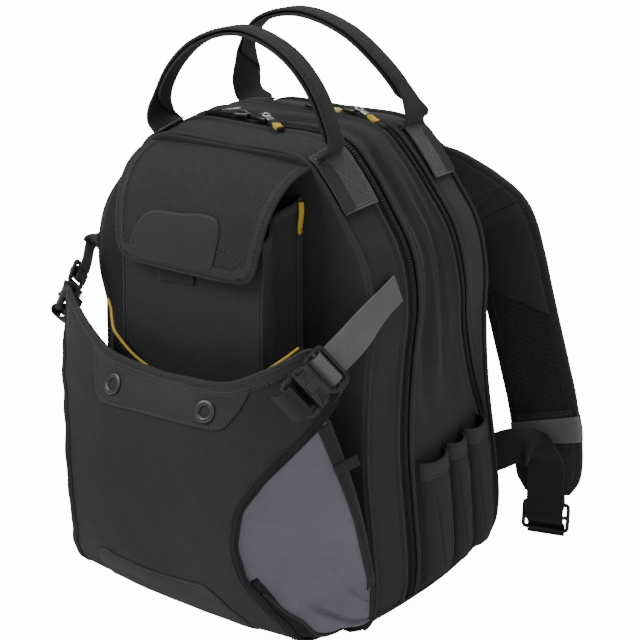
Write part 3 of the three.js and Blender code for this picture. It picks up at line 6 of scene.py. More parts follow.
import bpy
import numpy as np
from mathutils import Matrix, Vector

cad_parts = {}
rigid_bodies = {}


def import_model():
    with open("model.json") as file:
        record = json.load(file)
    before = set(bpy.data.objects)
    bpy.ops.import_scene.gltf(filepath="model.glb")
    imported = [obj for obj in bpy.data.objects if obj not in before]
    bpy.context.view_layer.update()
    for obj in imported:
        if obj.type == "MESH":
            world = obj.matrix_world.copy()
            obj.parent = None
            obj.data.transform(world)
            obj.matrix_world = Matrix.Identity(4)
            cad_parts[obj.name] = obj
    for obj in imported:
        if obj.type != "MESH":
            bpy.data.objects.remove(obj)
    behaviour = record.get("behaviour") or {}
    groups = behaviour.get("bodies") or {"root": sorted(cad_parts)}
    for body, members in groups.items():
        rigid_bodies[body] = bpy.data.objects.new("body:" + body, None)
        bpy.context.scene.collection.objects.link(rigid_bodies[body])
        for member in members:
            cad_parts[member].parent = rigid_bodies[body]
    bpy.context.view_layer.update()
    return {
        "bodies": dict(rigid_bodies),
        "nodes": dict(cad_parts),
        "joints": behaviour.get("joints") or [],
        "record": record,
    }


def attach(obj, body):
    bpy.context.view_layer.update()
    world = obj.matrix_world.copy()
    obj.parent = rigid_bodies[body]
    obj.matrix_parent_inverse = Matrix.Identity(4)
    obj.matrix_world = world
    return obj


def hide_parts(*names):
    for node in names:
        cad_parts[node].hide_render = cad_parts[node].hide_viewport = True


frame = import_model()
MM = 0.001

# Camera: turn to the right of the front, tilt, distance and lens are matched to the photograph
CAMERA_TURN, CAMERA_TILT, CAMERA_DISTANCE = 35.3, 20.3, 1450.0
CAMERA_TARGET = (-33.1, 76.0, 198.0)
CAMERA_LENS, CAMERA_SENSOR = 86.1, 36.0

# Sizes shared with the CAD model
BODY_HEIGHT, BODY_HALF_WIDTH, FRONT_DEPTH, REAR_DEPTH = 408.0, 146.0, 95.0, 108.0
SIDE_SWELL, TOP_SWELL, CLOTH, SEAM_GAP = 9.0, 9.0, 2.5, 0.4
BASE_TURN_UP, ZIP_WIDTH, FRONT_BAND_WIDTH = 20.0, 18.0, 38.0
POUCH_REACH, POUCH_HEIGHT, POUCH_HALF_WIDTH = 112.0, 278.0, 147.0
HANDLE_WIDTH, HANDLE_THICKNESS, HANDLE_RISE, HANDLE_FOOT = 36.0, 2.6, 96.0, 36.0
STRAP_WIDTH, STRAP_THICKNESS, WEBBING_THICKNESS = 63.0, 13.0, 1.8
KEEPER_WIDTH, KEEPER_SHARE = 22.0, 0.875
LOCK_WIDTH, LOCK_LENGTH, TAB_LENGTH, TAB_WIDTH = 46.0, 28.0, 8.0, 34.0
LOWER_WEBBING_HEIGHT, LOWER_WEBBING_WIDTH, BACK_PAD_HALF_WIDTH = 88.0, 36.0, 118.0
COMPRESSION_WIDTH, STRAP_SEAM_HEIGHT, STRAP_SEAM_DEPTH = 25.0, 305.0, -68.0
BUCKLE_WIDTH, BUCKLE_SOCKET_LENGTH, BUCKLE_LADDER_LENGTH, BUCKLE_THICKNESS = 36.0, 27.0, 21.0, 10.0
LADDER_THICKNESS, LADDER_BAR = 3.6, 3.4
GUSSET_TOP, GUSSET_BELLY, GUSSET_TAB_AT = 58.0, 12.5, 0.27
DIVIDER_LOW, DIVIDER_HIGH, DIVIDER_SCOOP, DIVIDER_HALF_WIDTH, DIVIDER_FLARE = 26, 268, 52, 100, 8
POCKET_HALF_WIDTH, POCKET_DEPTH, POCKET_BOTTOM, POCKET_TOP, POCKET_BULGE = 74.0, 50.0, 150.0, 350.0, 4.0
POCKET_CORNER, SIDE_RISE = 6.0, 27.0
FLAP_HALF_WIDTH, FLAP_REACH, FLAP_DROP = 80.0, 66.0, 84.0
SLEEVE_TOP, SLEEVE_BOTTOM, HEM_BAND = 147.0, 27.0, 16.0
SLIDER_LENGTH, SLIDER_WIDTH, SLIDER_HEIGHT = 13.0, 11.0, 5.0
PULL_LENGTH, PULL_WIDTH, PULL_THICKNESS, PULL_OVERLAP = 30.0, 9.0, 1.8, 4.0
BACK_PAD_TOP, BACK_PAD_BOTTOM, BACK_PAD_THICKNESS, PAD_RIM = 292.0, 30.0, 14.0, 3.0
FRONT_Y = -FRONT_DEPTH
ZIP1_Y = FRONT_Y + FRONT_BAND_WIDTH + ZIP_WIDTH / 2
ON_FRONT = FRONT_Y - 2 * SEAM_GAP - CLOTH

# Sizes of the looks alone
LEFT_FULLNESS = 8.0  # the left shoulder of the body is stuffed a little fuller
PAD_CHANNELS, PAD_CROSS, CHANNEL_WIDTH, CHANNEL_DEPTH = (-44.0, 44.0), 150.0, 2.6, 0.62
PAD_VOXEL, PAD_PRESSURE, PAD_FRAMES, PAD_REACH = 0.005, 4.0, 20, 0.006
STATIONS = 420  # points along the body's outline
TOOTH_PITCH, TOOTH_HALF, TOOTH_FOOT, TOOTH_TOP = 2.1, 2.5, -0.15, 0.75
EYELET_BORE, EYELET_SPOTS = 5.2, (("left", 0.302, 0.866), ("right", 0.676, 0.866))
FINE_GRAIN, BUMP_DEPTH, ROUGH_SPREAD, DUST_TONE = 700.0, 0.0006, 0.1, (0.17, 0.167, 0.163)
FLOOR_TONE, SKY_LIGHT = 0.93, 0.3
FLOOR_GLOW = 14.0  # what the camera alone sees of the white ground
# Rows of name, place, size and power
LAMPS = [("key", (-1.1, -1.5, 1.9), 1.3, 36), ("fill", (1.9, -0.9, 1.1), 1.6, 8),
        ("top", (0.1, 0.5, 2.2), 1.6, 20), ("back", (0.3, 2.0, 1.3), 1.4, 8)]
HANDS = (("right", 1), ("left", -1))

# Rows of up and out: half of the front outline, shares of the body's height and half width
OUTLINE = [(0, 0), (0, 0.45), (0, 0.8), (0.018, 0.92), (0.055, 0.98), (0.12, 1), (0.22, 0.975), (0.4, 0.925),
        (0.58, 0.935), (0.69, 0.96), (0.77, 0.935), (0.82, 0.885), (0.87, 0.795), (0.92, 0.7), (0.96, 0.61),
        (0.985, 0.54), (1, 0.42), (1, 0)]
# Rows of up, second zip and rear seam: where they lie at each height, shares of BODY_HEIGHT and REAR_DEPTH
DEPTHS = np.array([(0, 0.86, 0.985), (0.13, 0.86, 1), (0.25, 0.84, 0.99), (0.36, 0.77, 0.95),
        (0.47, 0.57, 0.88), (0.59, 0.38, 0.8), (0.73, 0.24, 0.715), (0.86, 0.185, 0.66), (1, 0.12, 0.615)])


# Numbers and curves
def smooth_table(keys, values, x):
    """A cubic through the rows of a table, with each row's slope taken between its neighbours."""
    keys, values, x = np.asarray(keys, float), np.asarray(values, float), np.asarray(x, float)
    slope = np.gradient(values, keys) if len(keys) < 3 else np.concatenate([[(values[1] - values[0])
            / (keys[1] - keys[0])], (values[2:] - values[:-2]) / (keys[2:] - keys[:-2]),
            [(values[-1] - values[-2]) / (keys[-1] - keys[-2])]])
    i = np.clip(np.searchsorted(keys, x, side="right") - 1, 0, len(keys) - 2)
    span, rise = keys[i + 1] - keys[i], values[i + 1] - values[i]
    t = np.clip((x - keys[i]) / span, 0, 1)
    bend = (slope[i] * span - rise) * (1 - t) + (rise - slope[i + 1] * span) * t
    return values[i] + rise * t + bend * t * (1 - t)


def ease(x, low, high):
    """0 below low, 1 above high, and a smooth step between them."""
    t = np.clip((np.asarray(x, float) - low) / (high - low), 0, 1)
    return t * t * (3 - 2 * t)


def bell(x, middle, width):
    """A bump of height 1 round the middle."""
    return np.exp(-(((np.asarray(x, float) - middle) / width) ** 2))


def ripple(a, b, seed, size):
    """A soft uneven field of about -1 to 1: six sine waves of about that size in seeded directions."""
    rng = np.random.default_rng(seed)
    total = 0.0
    for _ in range(6):
        turn, phase, length = rng.uniform(0, math.pi), rng.uniform(0, 2 * math.pi), size * rng.uniform(0.6,
                1.7)
        total = total + np.sin((a * math.cos(turn) + b * math.sin(turn)) * 2 * math.pi / length + phase)
    return total / 3.2


def unit(v):
    """Vectors divided by their lengths."""
    return v / np.maximum(np.linalg.norm(v, axis=-1, keepdims=True), 1e-9)


class Line:
    """A smooth line through points (centripetal Catmull-Rom), read by its share of length."""

    def __init__(self, points, closed=False, per=24):
        p = np.asarray(points, float)
        ring = (np.vstack([p[-1], p, p[0], p[1]]) if closed
                else np.vstack([2 * p[0] - p[1], p, 2 * p[-1] - p[-2]]))
        a, b, c, d = ring[:-3, None], ring[1:-2, None], ring[2:-1, None], ring[3:, None]
        gap = lambda u, v: np.sqrt(np.maximum(np.linalg.norm(v - u, axis=-1, keepdims=True), 1e-6))
        ab, bc, cd = gap(a, b), gap(b, c), gap(c, d)
        m1 = ((b - a) / ab - (c - a) / (ab + bc) + (c - b) / bc) * bc
        m2 = ((c - b) / bc - (d - b) / (bc + cd) + (d - c) / cd) * bc
        t = np.linspace(0, 1, per, endpoint=False)[None, :, None]
        dense = (b + m1 * t + (3 * (c - b) - 2 * m1 - m2) * t ** 2 + (2 * (b - c) + m1 + m2) * t ** 3)
        self.points = np.vstack([dense.reshape(-1, p.shape[1]), p[:1] if closed else p[-1:]])
        steps = np.linalg.norm(np.diff(self.points, axis=0), axis=1)
        self.share = np.concatenate([[0], np.cumsum(steps)])
        self.length = self.share[-1]
        self.share = self.share / self.length
        self.tangents = unit(np.gradient(self.points, axis=0))
        self.keys = np.interp(np.arange(len(p)) * per, np.arange(len(self.share)), self.share)

    def at(self, s):
        """The point at a share of the length."""
        return np.stack([np.interp(s, self.share, self.points[:, k]) for k in range(self.points.shape[1])],
                -1)

    def tangent(self, s):
        """The direction at a share of the length."""
        return unit(np.stack([np.interp(s, self.share, self.tangents[:, k])
                for k in range(self.points.shape[1])], -1))

    def column(self, s, values):
        """Values given at the line's own points, read at a share of its length."""
        return smooth_table(self.keys[:len(values)], values, s)


# The body's skin
half = [(out * BODY_HALF_WIDTH, up * BODY_HEIGHT) for up, out in OUTLINE]
outline = Line(half + [(-x, z) for x, z in half[1:-1][::-1]], closed=True, per=40)
side_share = np.linspace(0.06, 0.47, 400)
side_height = outline.at(side_share)[:, 1]


def share_at_height(z):
    """The share of the outline at which its right side passes a height."""
    return np.interp(z, side_height, side_share)


def half_width(z):
    """The outline's half width at a height."""
    return np.interp(z, side_height, outline.at(side_share)[:, 0])


def rear_y(z):
    """The depth of the body's rear seam at a height."""
    return REAR_DEPTH * smooth_table(DEPTHS[:, 0], DEPTHS[:, 2], np.asarray(z) / BODY_HEIGHT)


def zip2_y(z):
    """The depth of the main zip's middle at a height."""
    return REAR_DEPTH * smooth_table(DEPTHS[:, 0], DEPTHS[:, 1], np.asarray(z) / BODY_HEIGHT)


def left_fullness(x, z):
    """Extra width on the left, fading in from the middle and between the pouch and the top."""
    return LEFT_FULLNESS * ease(-x, 50, 120) * ease(z, 215, 285) * (1 - ease(z, 345, 402))


def body_point(s, y, lift=0.0):
    """The skin at share s of the outline and depth y: bellied between front and rear, plus a lift."""
    s, y, lift = np.broadcast_arrays(np.asarray(s, float) % 1.0, np.asarray(y, float),
            np.asarray(lift, float))
    p, t = outline.at(s), outline.tangent(s)
    nx, nz = t[..., 1], -t[..., 0]
    z = np.maximum(p[..., 1], 0)
    across = np.clip((y - FRONT_Y) / (rear_y(z) - FRONT_Y), 0, 1)
    sideways = np.where(nz < -0.5, 0, nx * nx)
    swell = np.sin(np.pi * across) * (SIDE_SWELL * sideways + TOP_SWELL * np.maximum(nz, 0) ** 2)
    x = p[..., 0] + nx * (swell + lift) - left_fullness(p[..., 0], z) * (1 - 0.5 * across)
    return np.stack([x, y, z + nz * (swell + lift)], -1)


band_end = float(share_at_height(BASE_TURN_UP + SEAM_GAP / 2))

# Meshes


def build(name, points, faces, material, uv=None, sharp=None):
    """A mesh object from points in millimetres and arrays of corner numbers. It rides on the one body."""
    mesh = bpy.data.meshes.new(name)
    points = np.asarray(points, float).reshape(-1, 3)
    corners = np.concatenate([f.ravel() for f in faces]).astype(np.int32)
    sizes = np.concatenate([np.full(len(f), f.shape[1]) for f in faces]).astype(np.int32)
    mesh.vertices.add(len(points))
    mesh.vertices.foreach_set("co", (points * MM).astype(np.float32).ravel())
    mesh.loops.add(len(corners))
    mesh.loops.foreach_set("vertex_index", corners)
    mesh.polygons.add(len(sizes))
    mesh.polygons.foreach_set("loop_start", (np.cumsum(sizes) - sizes).astype(np.int32))
    if uv is not None:
        layer = mesh.uv_layers.new(name="UVMap")
        layer.data.foreach_set("uv", np.asarray(uv, float).reshape(-1, 2)[corners].astype(np.float32).ravel())
    mesh.update(calc_edges=True)
    mesh.validate()
    mesh.polygons.foreach_set("use_smooth", np.ones(len(mesh.polygons), bool))
    if sharp:
        mesh.set_sharp_from_angle(angle=math.radians(sharp))
    mesh.materials.append(material)
    piece = bpy.data.objects.new(name, mesh)
    bpy.context.scene.collection.objects.link(piece)
    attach(piece, "root")
    return piece


def dress(piece, slot, *nodes):
    """Hides the CAD nodes that a piece stands for and returns the piece. The slot is not used."""
    if nodes:
        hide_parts(*nodes)
    return piece


def cells(rows, columns, wrap_rows=False, wrap_columns=False, first=0):
    """Four corner numbers for each cell of a grid of points."""
    i = np.arange(rows if wrap_rows else rows - 1)
    j = np.arange(columns if wrap_columns else columns - 1)
    i, j = np.meshgrid(i, j, indexing="ij")
    i2, j2 = (i + 1) % rows, (j + 1) % columns
    quads = np.stack([i * columns + j, i2 * columns + j, i2 * columns + j2, i * columns + j2], -1)
    return quads.reshape(-1, 4) + first


def repeated(faces, count, corners):
    """The same faces of four for each of count small shapes, which have that many corners each."""
    return (np.asarray(faces)[None] + corners * np.arange(count)[:, None, None]).reshape(-1, 4)


def lengths(grid):
    """A flat map of a grid in millimetres: distances along its rows and along its columns."""
    down = np.linalg.norm(np.diff(grid, axis=0), axis=2)
    over = np.linalg.norm(np.diff(grid, axis=1), axis=2)
    v = np.vstack([np.zeros((1, grid.shape[1])), np.cumsum(down, axis=0)])
    u = np.hstack([np.zeros((grid.shape[0], 1)), np.cumsum(over, axis=1)])
    return np.stack([u, v], -1)


def grid_normals(grid, away=None):
    """Normals of a grid, by differences between neighbours. away is a point inside that they turn from."""
    n = unit(np.cross(np.gradient(grid, axis=0), np.gradient(grid, axis=1)))
    if away is not None and np.sum(n * (grid - np.asarray(away, float))) < 0:
        n = -n
    return n


def wall(name, grid, thick, material, away, lift=0.0, inner=None, **options):
    """A cloth wall: the grid, the same grid set back by its thickness, and strips that close the rims."""
    normals = grid_normals(grid, away)
    outer = grid + normals * lift
    inner = outer - normals * thick if inner is None else inner
    rows, columns = grid.shape[:2]
    n = rows * columns
    front, back = cells(rows, columns), cells(rows, columns, first=n)[:, ::-1]
    index = np.arange(n).reshape(rows, columns)
    rim = np.concatenate([index[0], index[1:, -1], index[-1, -2::-1], index[-2:0:-1, 0]])
    nxt = np.roll(rim, -1)
    edge = np.stack([rim, nxt, nxt + n, rim + n], -1)
    turned = np.sum(np.cross(np.gradient(grid, axis=0), np.gradient(grid, axis=1)) * normals) < 0
    if turned:
        front, back, edge = front[:, ::-1], back[:, ::-1], edge[:, ::-1]
    uv = np.concatenate([lengths(grid).reshape(-1, 2)] * 2)
    return build(name, np.concatenate([outer.reshape(-1, 3), inner.reshape(-1, 3)]), [front, back, edge],
            material, uv, **options)


def tube(name, sections, material, closed=False, **options):
    """Sections (rings of points) skinned one after another, with fans over the two ends."""
    rows, columns = sections.shape[:2]
    points = sections.reshape(-1, 3)
    faces = [cells(rows, columns, wrap_rows=closed, wrap_columns=True)]
    ring = np.concatenate([sections, sections[:, :1]], axis=1)
    uv = lengths(ring)[:, :-1].reshape(-1, 2)
    if not closed:
        ends = sections[[0, -1]].mean(axis=1)
        j = np.arange(columns)
        first, last = np.full(columns, len(points)), np.full(columns, len(points) + 1)
        base = (rows - 1) * columns
        faces += [np.stack([first, j, (j + 1) % columns], -1), np.stack([last, base + (j + 1) % columns,
                base + j], -1)]
        points = np.vstack([points, ends])
        uv = np.vstack([uv, uv[:1], uv[-1:]])
    centre = sections.mean(axis=1, keepdims=True)
    n = np.cross(np.roll(sections, -1, 1) - sections, np.gradient(sections, axis=0))
    if np.sum(n * (sections - centre)) > 0:
        faces = [f[:, ::-1] for f in faces]
    return build(name, points, faces, material, uv, **options)


def across_axes(tangents, hint):
    """Width and thickness directions square to a path: the hint, made square, and the cross product."""
    hint = np.broadcast_to(np.asarray(hint, float), tangents.shape)
    width = unit(hint - tangents * np.sum(hint * tangents, -1, keepdims=True))
    return width, unit(np.cross(tangents, width))


def flat_ring(corners=20, power=0.32):
    """A flattened rounded section, as shares of half width and half thickness."""
    a = 2 * np.pi * (np.arange(corners) + 0.5) / corners
    c, s = np.cos(a), np.sin(a)
    return np.sign(c) * np.abs(c) ** power, np.sign(s) * np.abs(s) ** power


def sweep(name, centres, width_axis, thick_axis, half_width_mm, half_thick_mm, material, power=0.32,
        corners=20, **options):
    """A flattened section carried along a path with its own half width and half thickness at each point."""
    w, t = flat_ring(corners, power)
    hw = np.broadcast_to(np.asarray(half_width_mm, float), len(centres))[:, None, None]
    ht = np.broadcast_to(np.asarray(half_thick_mm, float), len(centres))[:, None, None]
    sections = (centres[:, None] + width_axis[:, None] * (w[None, :, None] * hw) + thick_axis[:, None]
            * (t[None, :, None] * ht))
    return tube(name, sections, material, **options)


def cord_along(name, centres, radius, material, hint=(0, 1, 0), corners=10, closed=False):
    """A round cord of a radius along a path."""
    tangents = unit(np.gradient(centres, axis=0))
    width, thick = across_axes(tangents, hint)
    a = 2 * np.pi * np.arange(corners) / corners
    r = np.broadcast_to(np.asarray(radius, float), len(centres))[:, None, None]
    sections = centres[:, None] + r * (width[:, None] * np.cos(a)[None, :, None] + thick[:, None]
            * np.sin(a)[None, :, None])
    return tube(name, sections, material, closed=closed)


def join(name, parts):
    """Several pieces made one object, under a name."""
    first = parts[0]
    bpy.ops.object.select_all(action="DESELECT")
    for p in parts:
        p.select_set(True)
    bpy.context.view_layer.objects.active = first
    bpy.ops.object.join()
    first.name = first.data.name = name
    return first


class Surface:
    """A fine grid of points read at shares u (along a row) and v (down a column)."""

    def __init__(self, grid, away):
        self.grid = grid
        self.normals = grid_normals(grid, away)
        self.rows, self.columns = grid.shape[:2]

    def read(self, values, u, v):
        """Values on the grid's points, blended between the four round u, v."""
        u, v = np.broadcast_arrays(np.asarray(u, float), np.asarray(v, float))
        x = np.clip(u, 0, 1) * (self.columns - 1)
        y = np.clip(v, 0, 1) * (self.rows - 1)
        j = np.minimum(x.astype(int), self.columns - 2)
        i = np.minimum(y.astype(int), self.rows - 2)
        fx, fy = (x - j)[..., None], (y - i)[..., None]
        top = values[i, j] * (1 - fx) + values[i, j + 1] * fx
        low = values[i + 1, j] * (1 - fx) + values[i + 1, j + 1] * fx
        return top * (1 - fy) + low * fy

    def at(self, u, v, lift=0.0):
        """The point at u, v, lifted along the normal."""
        return self.read(self.grid, u, v) + self.normal(u, v) * np.asarray(lift, float)[..., None]

    def normal(self, u, v):
        """The outward direction at u, v."""
        return unit(self.read(self.normals, u, v))

    def shift(self, u, v, offset):
        """The shares reached by moving from u, v by a short vector in the surface (two by two metric)."""
        u0, u1, v0, v1 = (np.clip(x, 0, 1) for x in (u - 0.004, u + 0.004, v - 0.004, v + 0.004))
        pu = (self.at(u1, v) - self.at(u0, v)) / (u1 - u0)[..., None]
        pv = (self.at(u, v1) - self.at(u, v0)) / (v1 - v0)[..., None]
        a, b, c = np.sum(pu * pu, -1), np.sum(pu * pv, -1), np.sum(pv * pv, -1)
        p, q = np.sum(pu * offset, -1), np.sum(pv * offset, -1)
        det = np.maximum(a * c - b * b, 1e-6)
        return u + (p * c - q * b) / det, v + (q * a - p * b) / det

    def beside(self, u, v, distance):
        """The path moved sideways in the surface by a distance (positive to its left seen from outside)."""
        line = self.at(u, v)
        side = np.cross(self.normal(u, v), unit(np.gradient(line, axis=0)))
        return self.shift(u, v, side * distance)


def even(u, v, surface, spacing=3.0):
    """A path in shares, respaced evenly over the surface."""
    line = surface.at(np.asarray(u, float), np.asarray(v, float))
    run = np.concatenate([[0], np.cumsum(np.linalg.norm(np.diff(line, axis=0), axis=1))])
    n = max(8, int(run[-1] / spacing))
    t = np.linspace(0, run[-1], n)
    return np.interp(t, run, u), np.interp(t, run, v)


def tape(name, surface, u, v, width, thick, material, lift=0.0, spacing=3.0, power=0.4, **options):
    """A flat tape sewn along a path on a surface: its section follows the surface across its width."""
    u, v = even(u, v, surface, spacing)
    w, t = flat_ring(14, power)
    columns = []
    for share, rise in zip(w, t):
        uu, vv = surface.beside(u, v, share * width / 2)
        columns.append(surface.at(uu, vv, lift + thick / 2 + rise * thick / 2 - 0.2))
    return tube(name, np.stack(columns, 1), material, **options)


STITCHES = {"light": [], "dark": [], "pale": []}


def stitch(points, normals, colour="light", length=2.7, gap=1.3, radius=0.42, ends=0.0):
    """Notes a row of stitches along a line of points, with the direction that the thread faces."""
    run = np.concatenate([[0], np.cumsum(np.linalg.norm(np.diff(points, axis=0), axis=1))])
    count = int((run[-1] - 2 * ends + gap) / (length + gap))
    if count < 1:
        return
    middle = ends + (run[-1] - 2 * ends) * (np.arange(count) + 0.5) / count
    read = lambda values, at: np.stack([np.interp(at, run, values[:, k]) for k in range(3)], -1)
    a, b = read(points, middle - length / 2), read(points, middle + length / 2)
    up = unit(read(normals, middle))
    STITCHES[colour].append((a, b, up, np.full(count, radius)))


def stitch_on(surface, u, v, side=0.0, lift=0.25, **options):
    """A row of stitches along a path on a surface, moved sideways by a distance."""
    u, v = even(u, v, surface)
    if side:
        u, v = surface.beside(u, v, side)
    stitch(surface.at(u, v, lift), surface.normal(u, v), **options)


def sew(colour, name, material):
    """All noted stitches of a colour as one mesh: each is a six sided thread, thin at its sunk ends."""
    a, b, up, radius = (np.concatenate(parts) for parts in zip(*STITCHES[colour]))
    along = unit(b - a)
    side = unit(np.cross(up, along))
    up = np.cross(along, side)
    shares, grow, sink = np.array([0, 0.2, 0.8, 1]), np.array([0.35, 1, 1, 0.35]), np.array([-0.9, 0, 0,
            -0.9])
    angle = 2 * np.pi * np.arange(6) / 6
    centre = a[:, None] + (b - a)[:, None] * shares[None, :, None] + up[:, None] * (
        sink[None, :, None] * radius[:, None, None])
    ring = (side[:, None, None] * np.cos(angle)[None, None, :, None]
            + up[:, None, None] * np.sin(angle)[None, None, :, None])
    points = centre[:, :, None] + ring * (grow[None, :, None, None] * radius[:, None, None, None])
    count = len(a)
    faces = repeated(cells(4, 6, wrap_columns=True), count, 24)
    caps = repeated([[5, 4, 3, 2], [5, 2, 1, 0], [18, 19, 20, 21], [18, 21, 22, 23]], count, 24)
    return build(name, points, [faces[:, ::-1], caps[:, ::-1]], material)


# Materials
class Shade:
    """A short way to add nodes to a tree and link them."""

    def __init__(self, tree):
        self.tree = tree

    def add(self, kind, **settings):
        """A new node, with its settings or input values."""
        node = self.tree.nodes.new("ShaderNode" + kind if not kind.startswith("Node") else kind)
        for key, value in settings.items():
            if hasattr(node, key):
                setattr(node, key, value)
            else:
                node.inputs[key.replace("_", " ")].default_value = value
        return node

    def link(self, source, target):
        """A link from an output to an input."""
        self.tree.links.new(source, target)
        return target

    def math(self, operation, a, b=None, c=None):
        """A math node fed by values or outputs."""
        node = self.add("Math", operation=operation)
        for socket, value in zip(node.inputs, (a, b, c)):
            if value is None:
                continue
            if hasattr(value, "links"):
                self.link(value, socket)
            else:
                socket.default_value = value
        return node.outputs[0]

    def noise(self, vector, scale, detail=3.0, rough=0.55):
        """A noise of a scale on a vector."""
        node = self.add("TexNoise")
        node.inputs["Scale"].default_value = scale
        node.inputs["Detail"].default_value = detail
        node.inputs["Roughness"].default_value = rough
        self.link(vector, node.inputs["Vector"])
        return node.outputs["Fac"]

    def ramp(self, value, low, high):
        """A smooth step of a value from low to high."""
        node = self.add("MapRange", interpolation_type="SMOOTHSTEP")
        self.link(value, node.inputs["Value"])
        node.inputs["From Min"].default_value = low
        node.inputs["From Max"].default_value = high
        return node.outputs["Result"]

    def mix(self, share, a, b):
        """Two colours mixed by a share."""
        node = self.add("Mix", data_type="RGBA")
        for socket, value in zip((node.inputs[0], node.inputs[6], node.inputs[7]), (share, a, b)):
            if hasattr(value, "links"):
                self.link(value, socket)
            else:
                socket.default_value = value
        return node.outputs[2]


def group(name, inputs, outputs, fill):
    """A shader node group with named sockets, filled by a function of its inputs that returns its outputs."""
    tree = bpy.data.node_groups.new(name, "ShaderNodeTree")
    for label, kind, value in inputs:
        socket = tree.interface.new_socket(label, in_out="INPUT", socket_type="NodeSocket" + kind)
        if value is not None:
            socket.default_value = value
    for label, kind in outputs:
        tree.interface.new_socket(label, in_out="OUTPUT", socket_type="NodeSocket" + kind)
    shade = Shade(tree)
    start, end = shade.add("NodeGroupInput"), shade.add("NodeGroupOutput")
    for socket, value in zip(end.inputs, fill(shade, start.outputs)):
        shade.link(value, socket)
    return tree


def fill_weave(s, inp):
    """Crossing yarns on the flat map: rounded ridges of two directions, each over the other in turn."""
    parts = s.add("SeparateXYZ")
    s.link(inp["Flat"], parts.inputs[0])
    u = s.math("DIVIDE", parts.outputs[0], inp["Yarn"])
    v = s.math("DIVIDE", parts.outputs[1], inp["Yarn"])
    warp = s.math("ABSOLUTE", s.math("SINE", s.math("MULTIPLY", u, math.pi)))
    weft = s.math("ABSOLUTE", s.math("SINE", s.math("MULTIPLY", v, math.pi)))
    over = s.math("SIGN", s.math("MULTIPLY", s.math("SINE", s.math("MULTIPLY", u, math.pi)),
            s.math("SINE", s.math("MULTIPLY", v, math.pi))))
    top = s.math("MULTIPLY_ADD", over, 0.5, 0.5)
    height = s.math("ADD", s.math("MULTIPLY", warp, top), s.math("MULTIPLY", weft,
            s.math("SUBTRACT", 1.0, top)))
    fuzz = s.noise(inp["Place"], 900.0, 2.0)
    height = s.math("ADD", s.math("MULTIPLY", height, 0.7), s.math("MULTIPLY", fuzz, 0.6))
    tone = s.math("MULTIPLY_ADD", s.math("MULTIPLY", warp, weft), 0.35, 0.82)
    return height, tone


def fill_wear(s, inp):
    """Uneven dye in wide soft patches, rubbed crests and a little dust on what faces up."""
    patches = s.noise(inp["Place"], 14.0, 4.0, 0.6)
    fine = s.noise(inp["Place"], 160.0, 3.0, 0.6)
    tone = s.math("ADD", s.math("MULTIPLY_ADD", patches, 0.34, 0.83), s.math("MULTIPLY_ADD", fine, 0.2, -0.1))
    normal = s.add("NewGeometry")
    parts = s.add("SeparateXYZ")
    s.link(normal.outputs["Normal"], parts.inputs[0])
    up = s.ramp(parts.outputs[2], 0.1, 1.0)
    dust = s.math("MULTIPLY", s.math("MULTIPLY", up, s.ramp(fine, 0.35, 0.75)), inp["Dust"])
    rubbed = s.math("MULTIPLY", s.ramp(normal.outputs["Pointiness"], 0.515, 0.56), inp["Rub"])
    return tone, s.math("ADD", dust, rubbed)


def fill_ribs(s, inp):
    """Webbing: close cross ribs with a slight zigzag, and a smooth selvedge left to the mesh."""
    parts = s.add("SeparateXYZ")
    s.link(inp["Flat"], parts.inputs[0])
    zigzag = s.math("MULTIPLY", s.math("PINGPONG", parts.outputs[0], 1.6), inp["Slant"])
    along = s.math("DIVIDE", s.math("ADD", parts.outputs[1], zigzag), inp["Rib"])
    ridge = s.math("ABSOLUTE", s.math("SINE", s.math("MULTIPLY", along, math.pi)))
    cross = s.math("ABSOLUTE", s.math("SINE", s.math("MULTIPLY", parts.outputs[0], math.pi / 1.6)))
    height = s.math("ADD", s.math("MULTIPLY", ridge, 0.75), s.math("MULTIPLY", cross, 0.3))
    return height, s.math("MULTIPLY_ADD", ridge, 0.45, 0.72)


PLACE = ("Place", "Vector", None)
FLAT = ("Flat", "Vector", None)
WEAVE = group("cloth weave", [FLAT, PLACE, ("Yarn", "Float", 1.2)], [("Height", "Float"), ("Tone", "Float")],
        fill_weave)
WEBBING_RIBS = {"Rib": 1.7, "Slant": 0.6}
FINE_RIBS = {"Rib": 1.0, "Slant": 0.0}
WEAR = group("cloth wear", [PLACE, ("Dust", "Float", 0.1), ("Rub", "Float", 0.2)],
        [("Tone", "Float"), ("Light", "Float")], fill_wear)
RIBS = group("webbing ribs", [FLAT, ("Rib", "Float", 1.5), ("Slant", "Float", 0.5)],
        [("Height", "Float"), ("Tone", "Float")], fill_ribs)


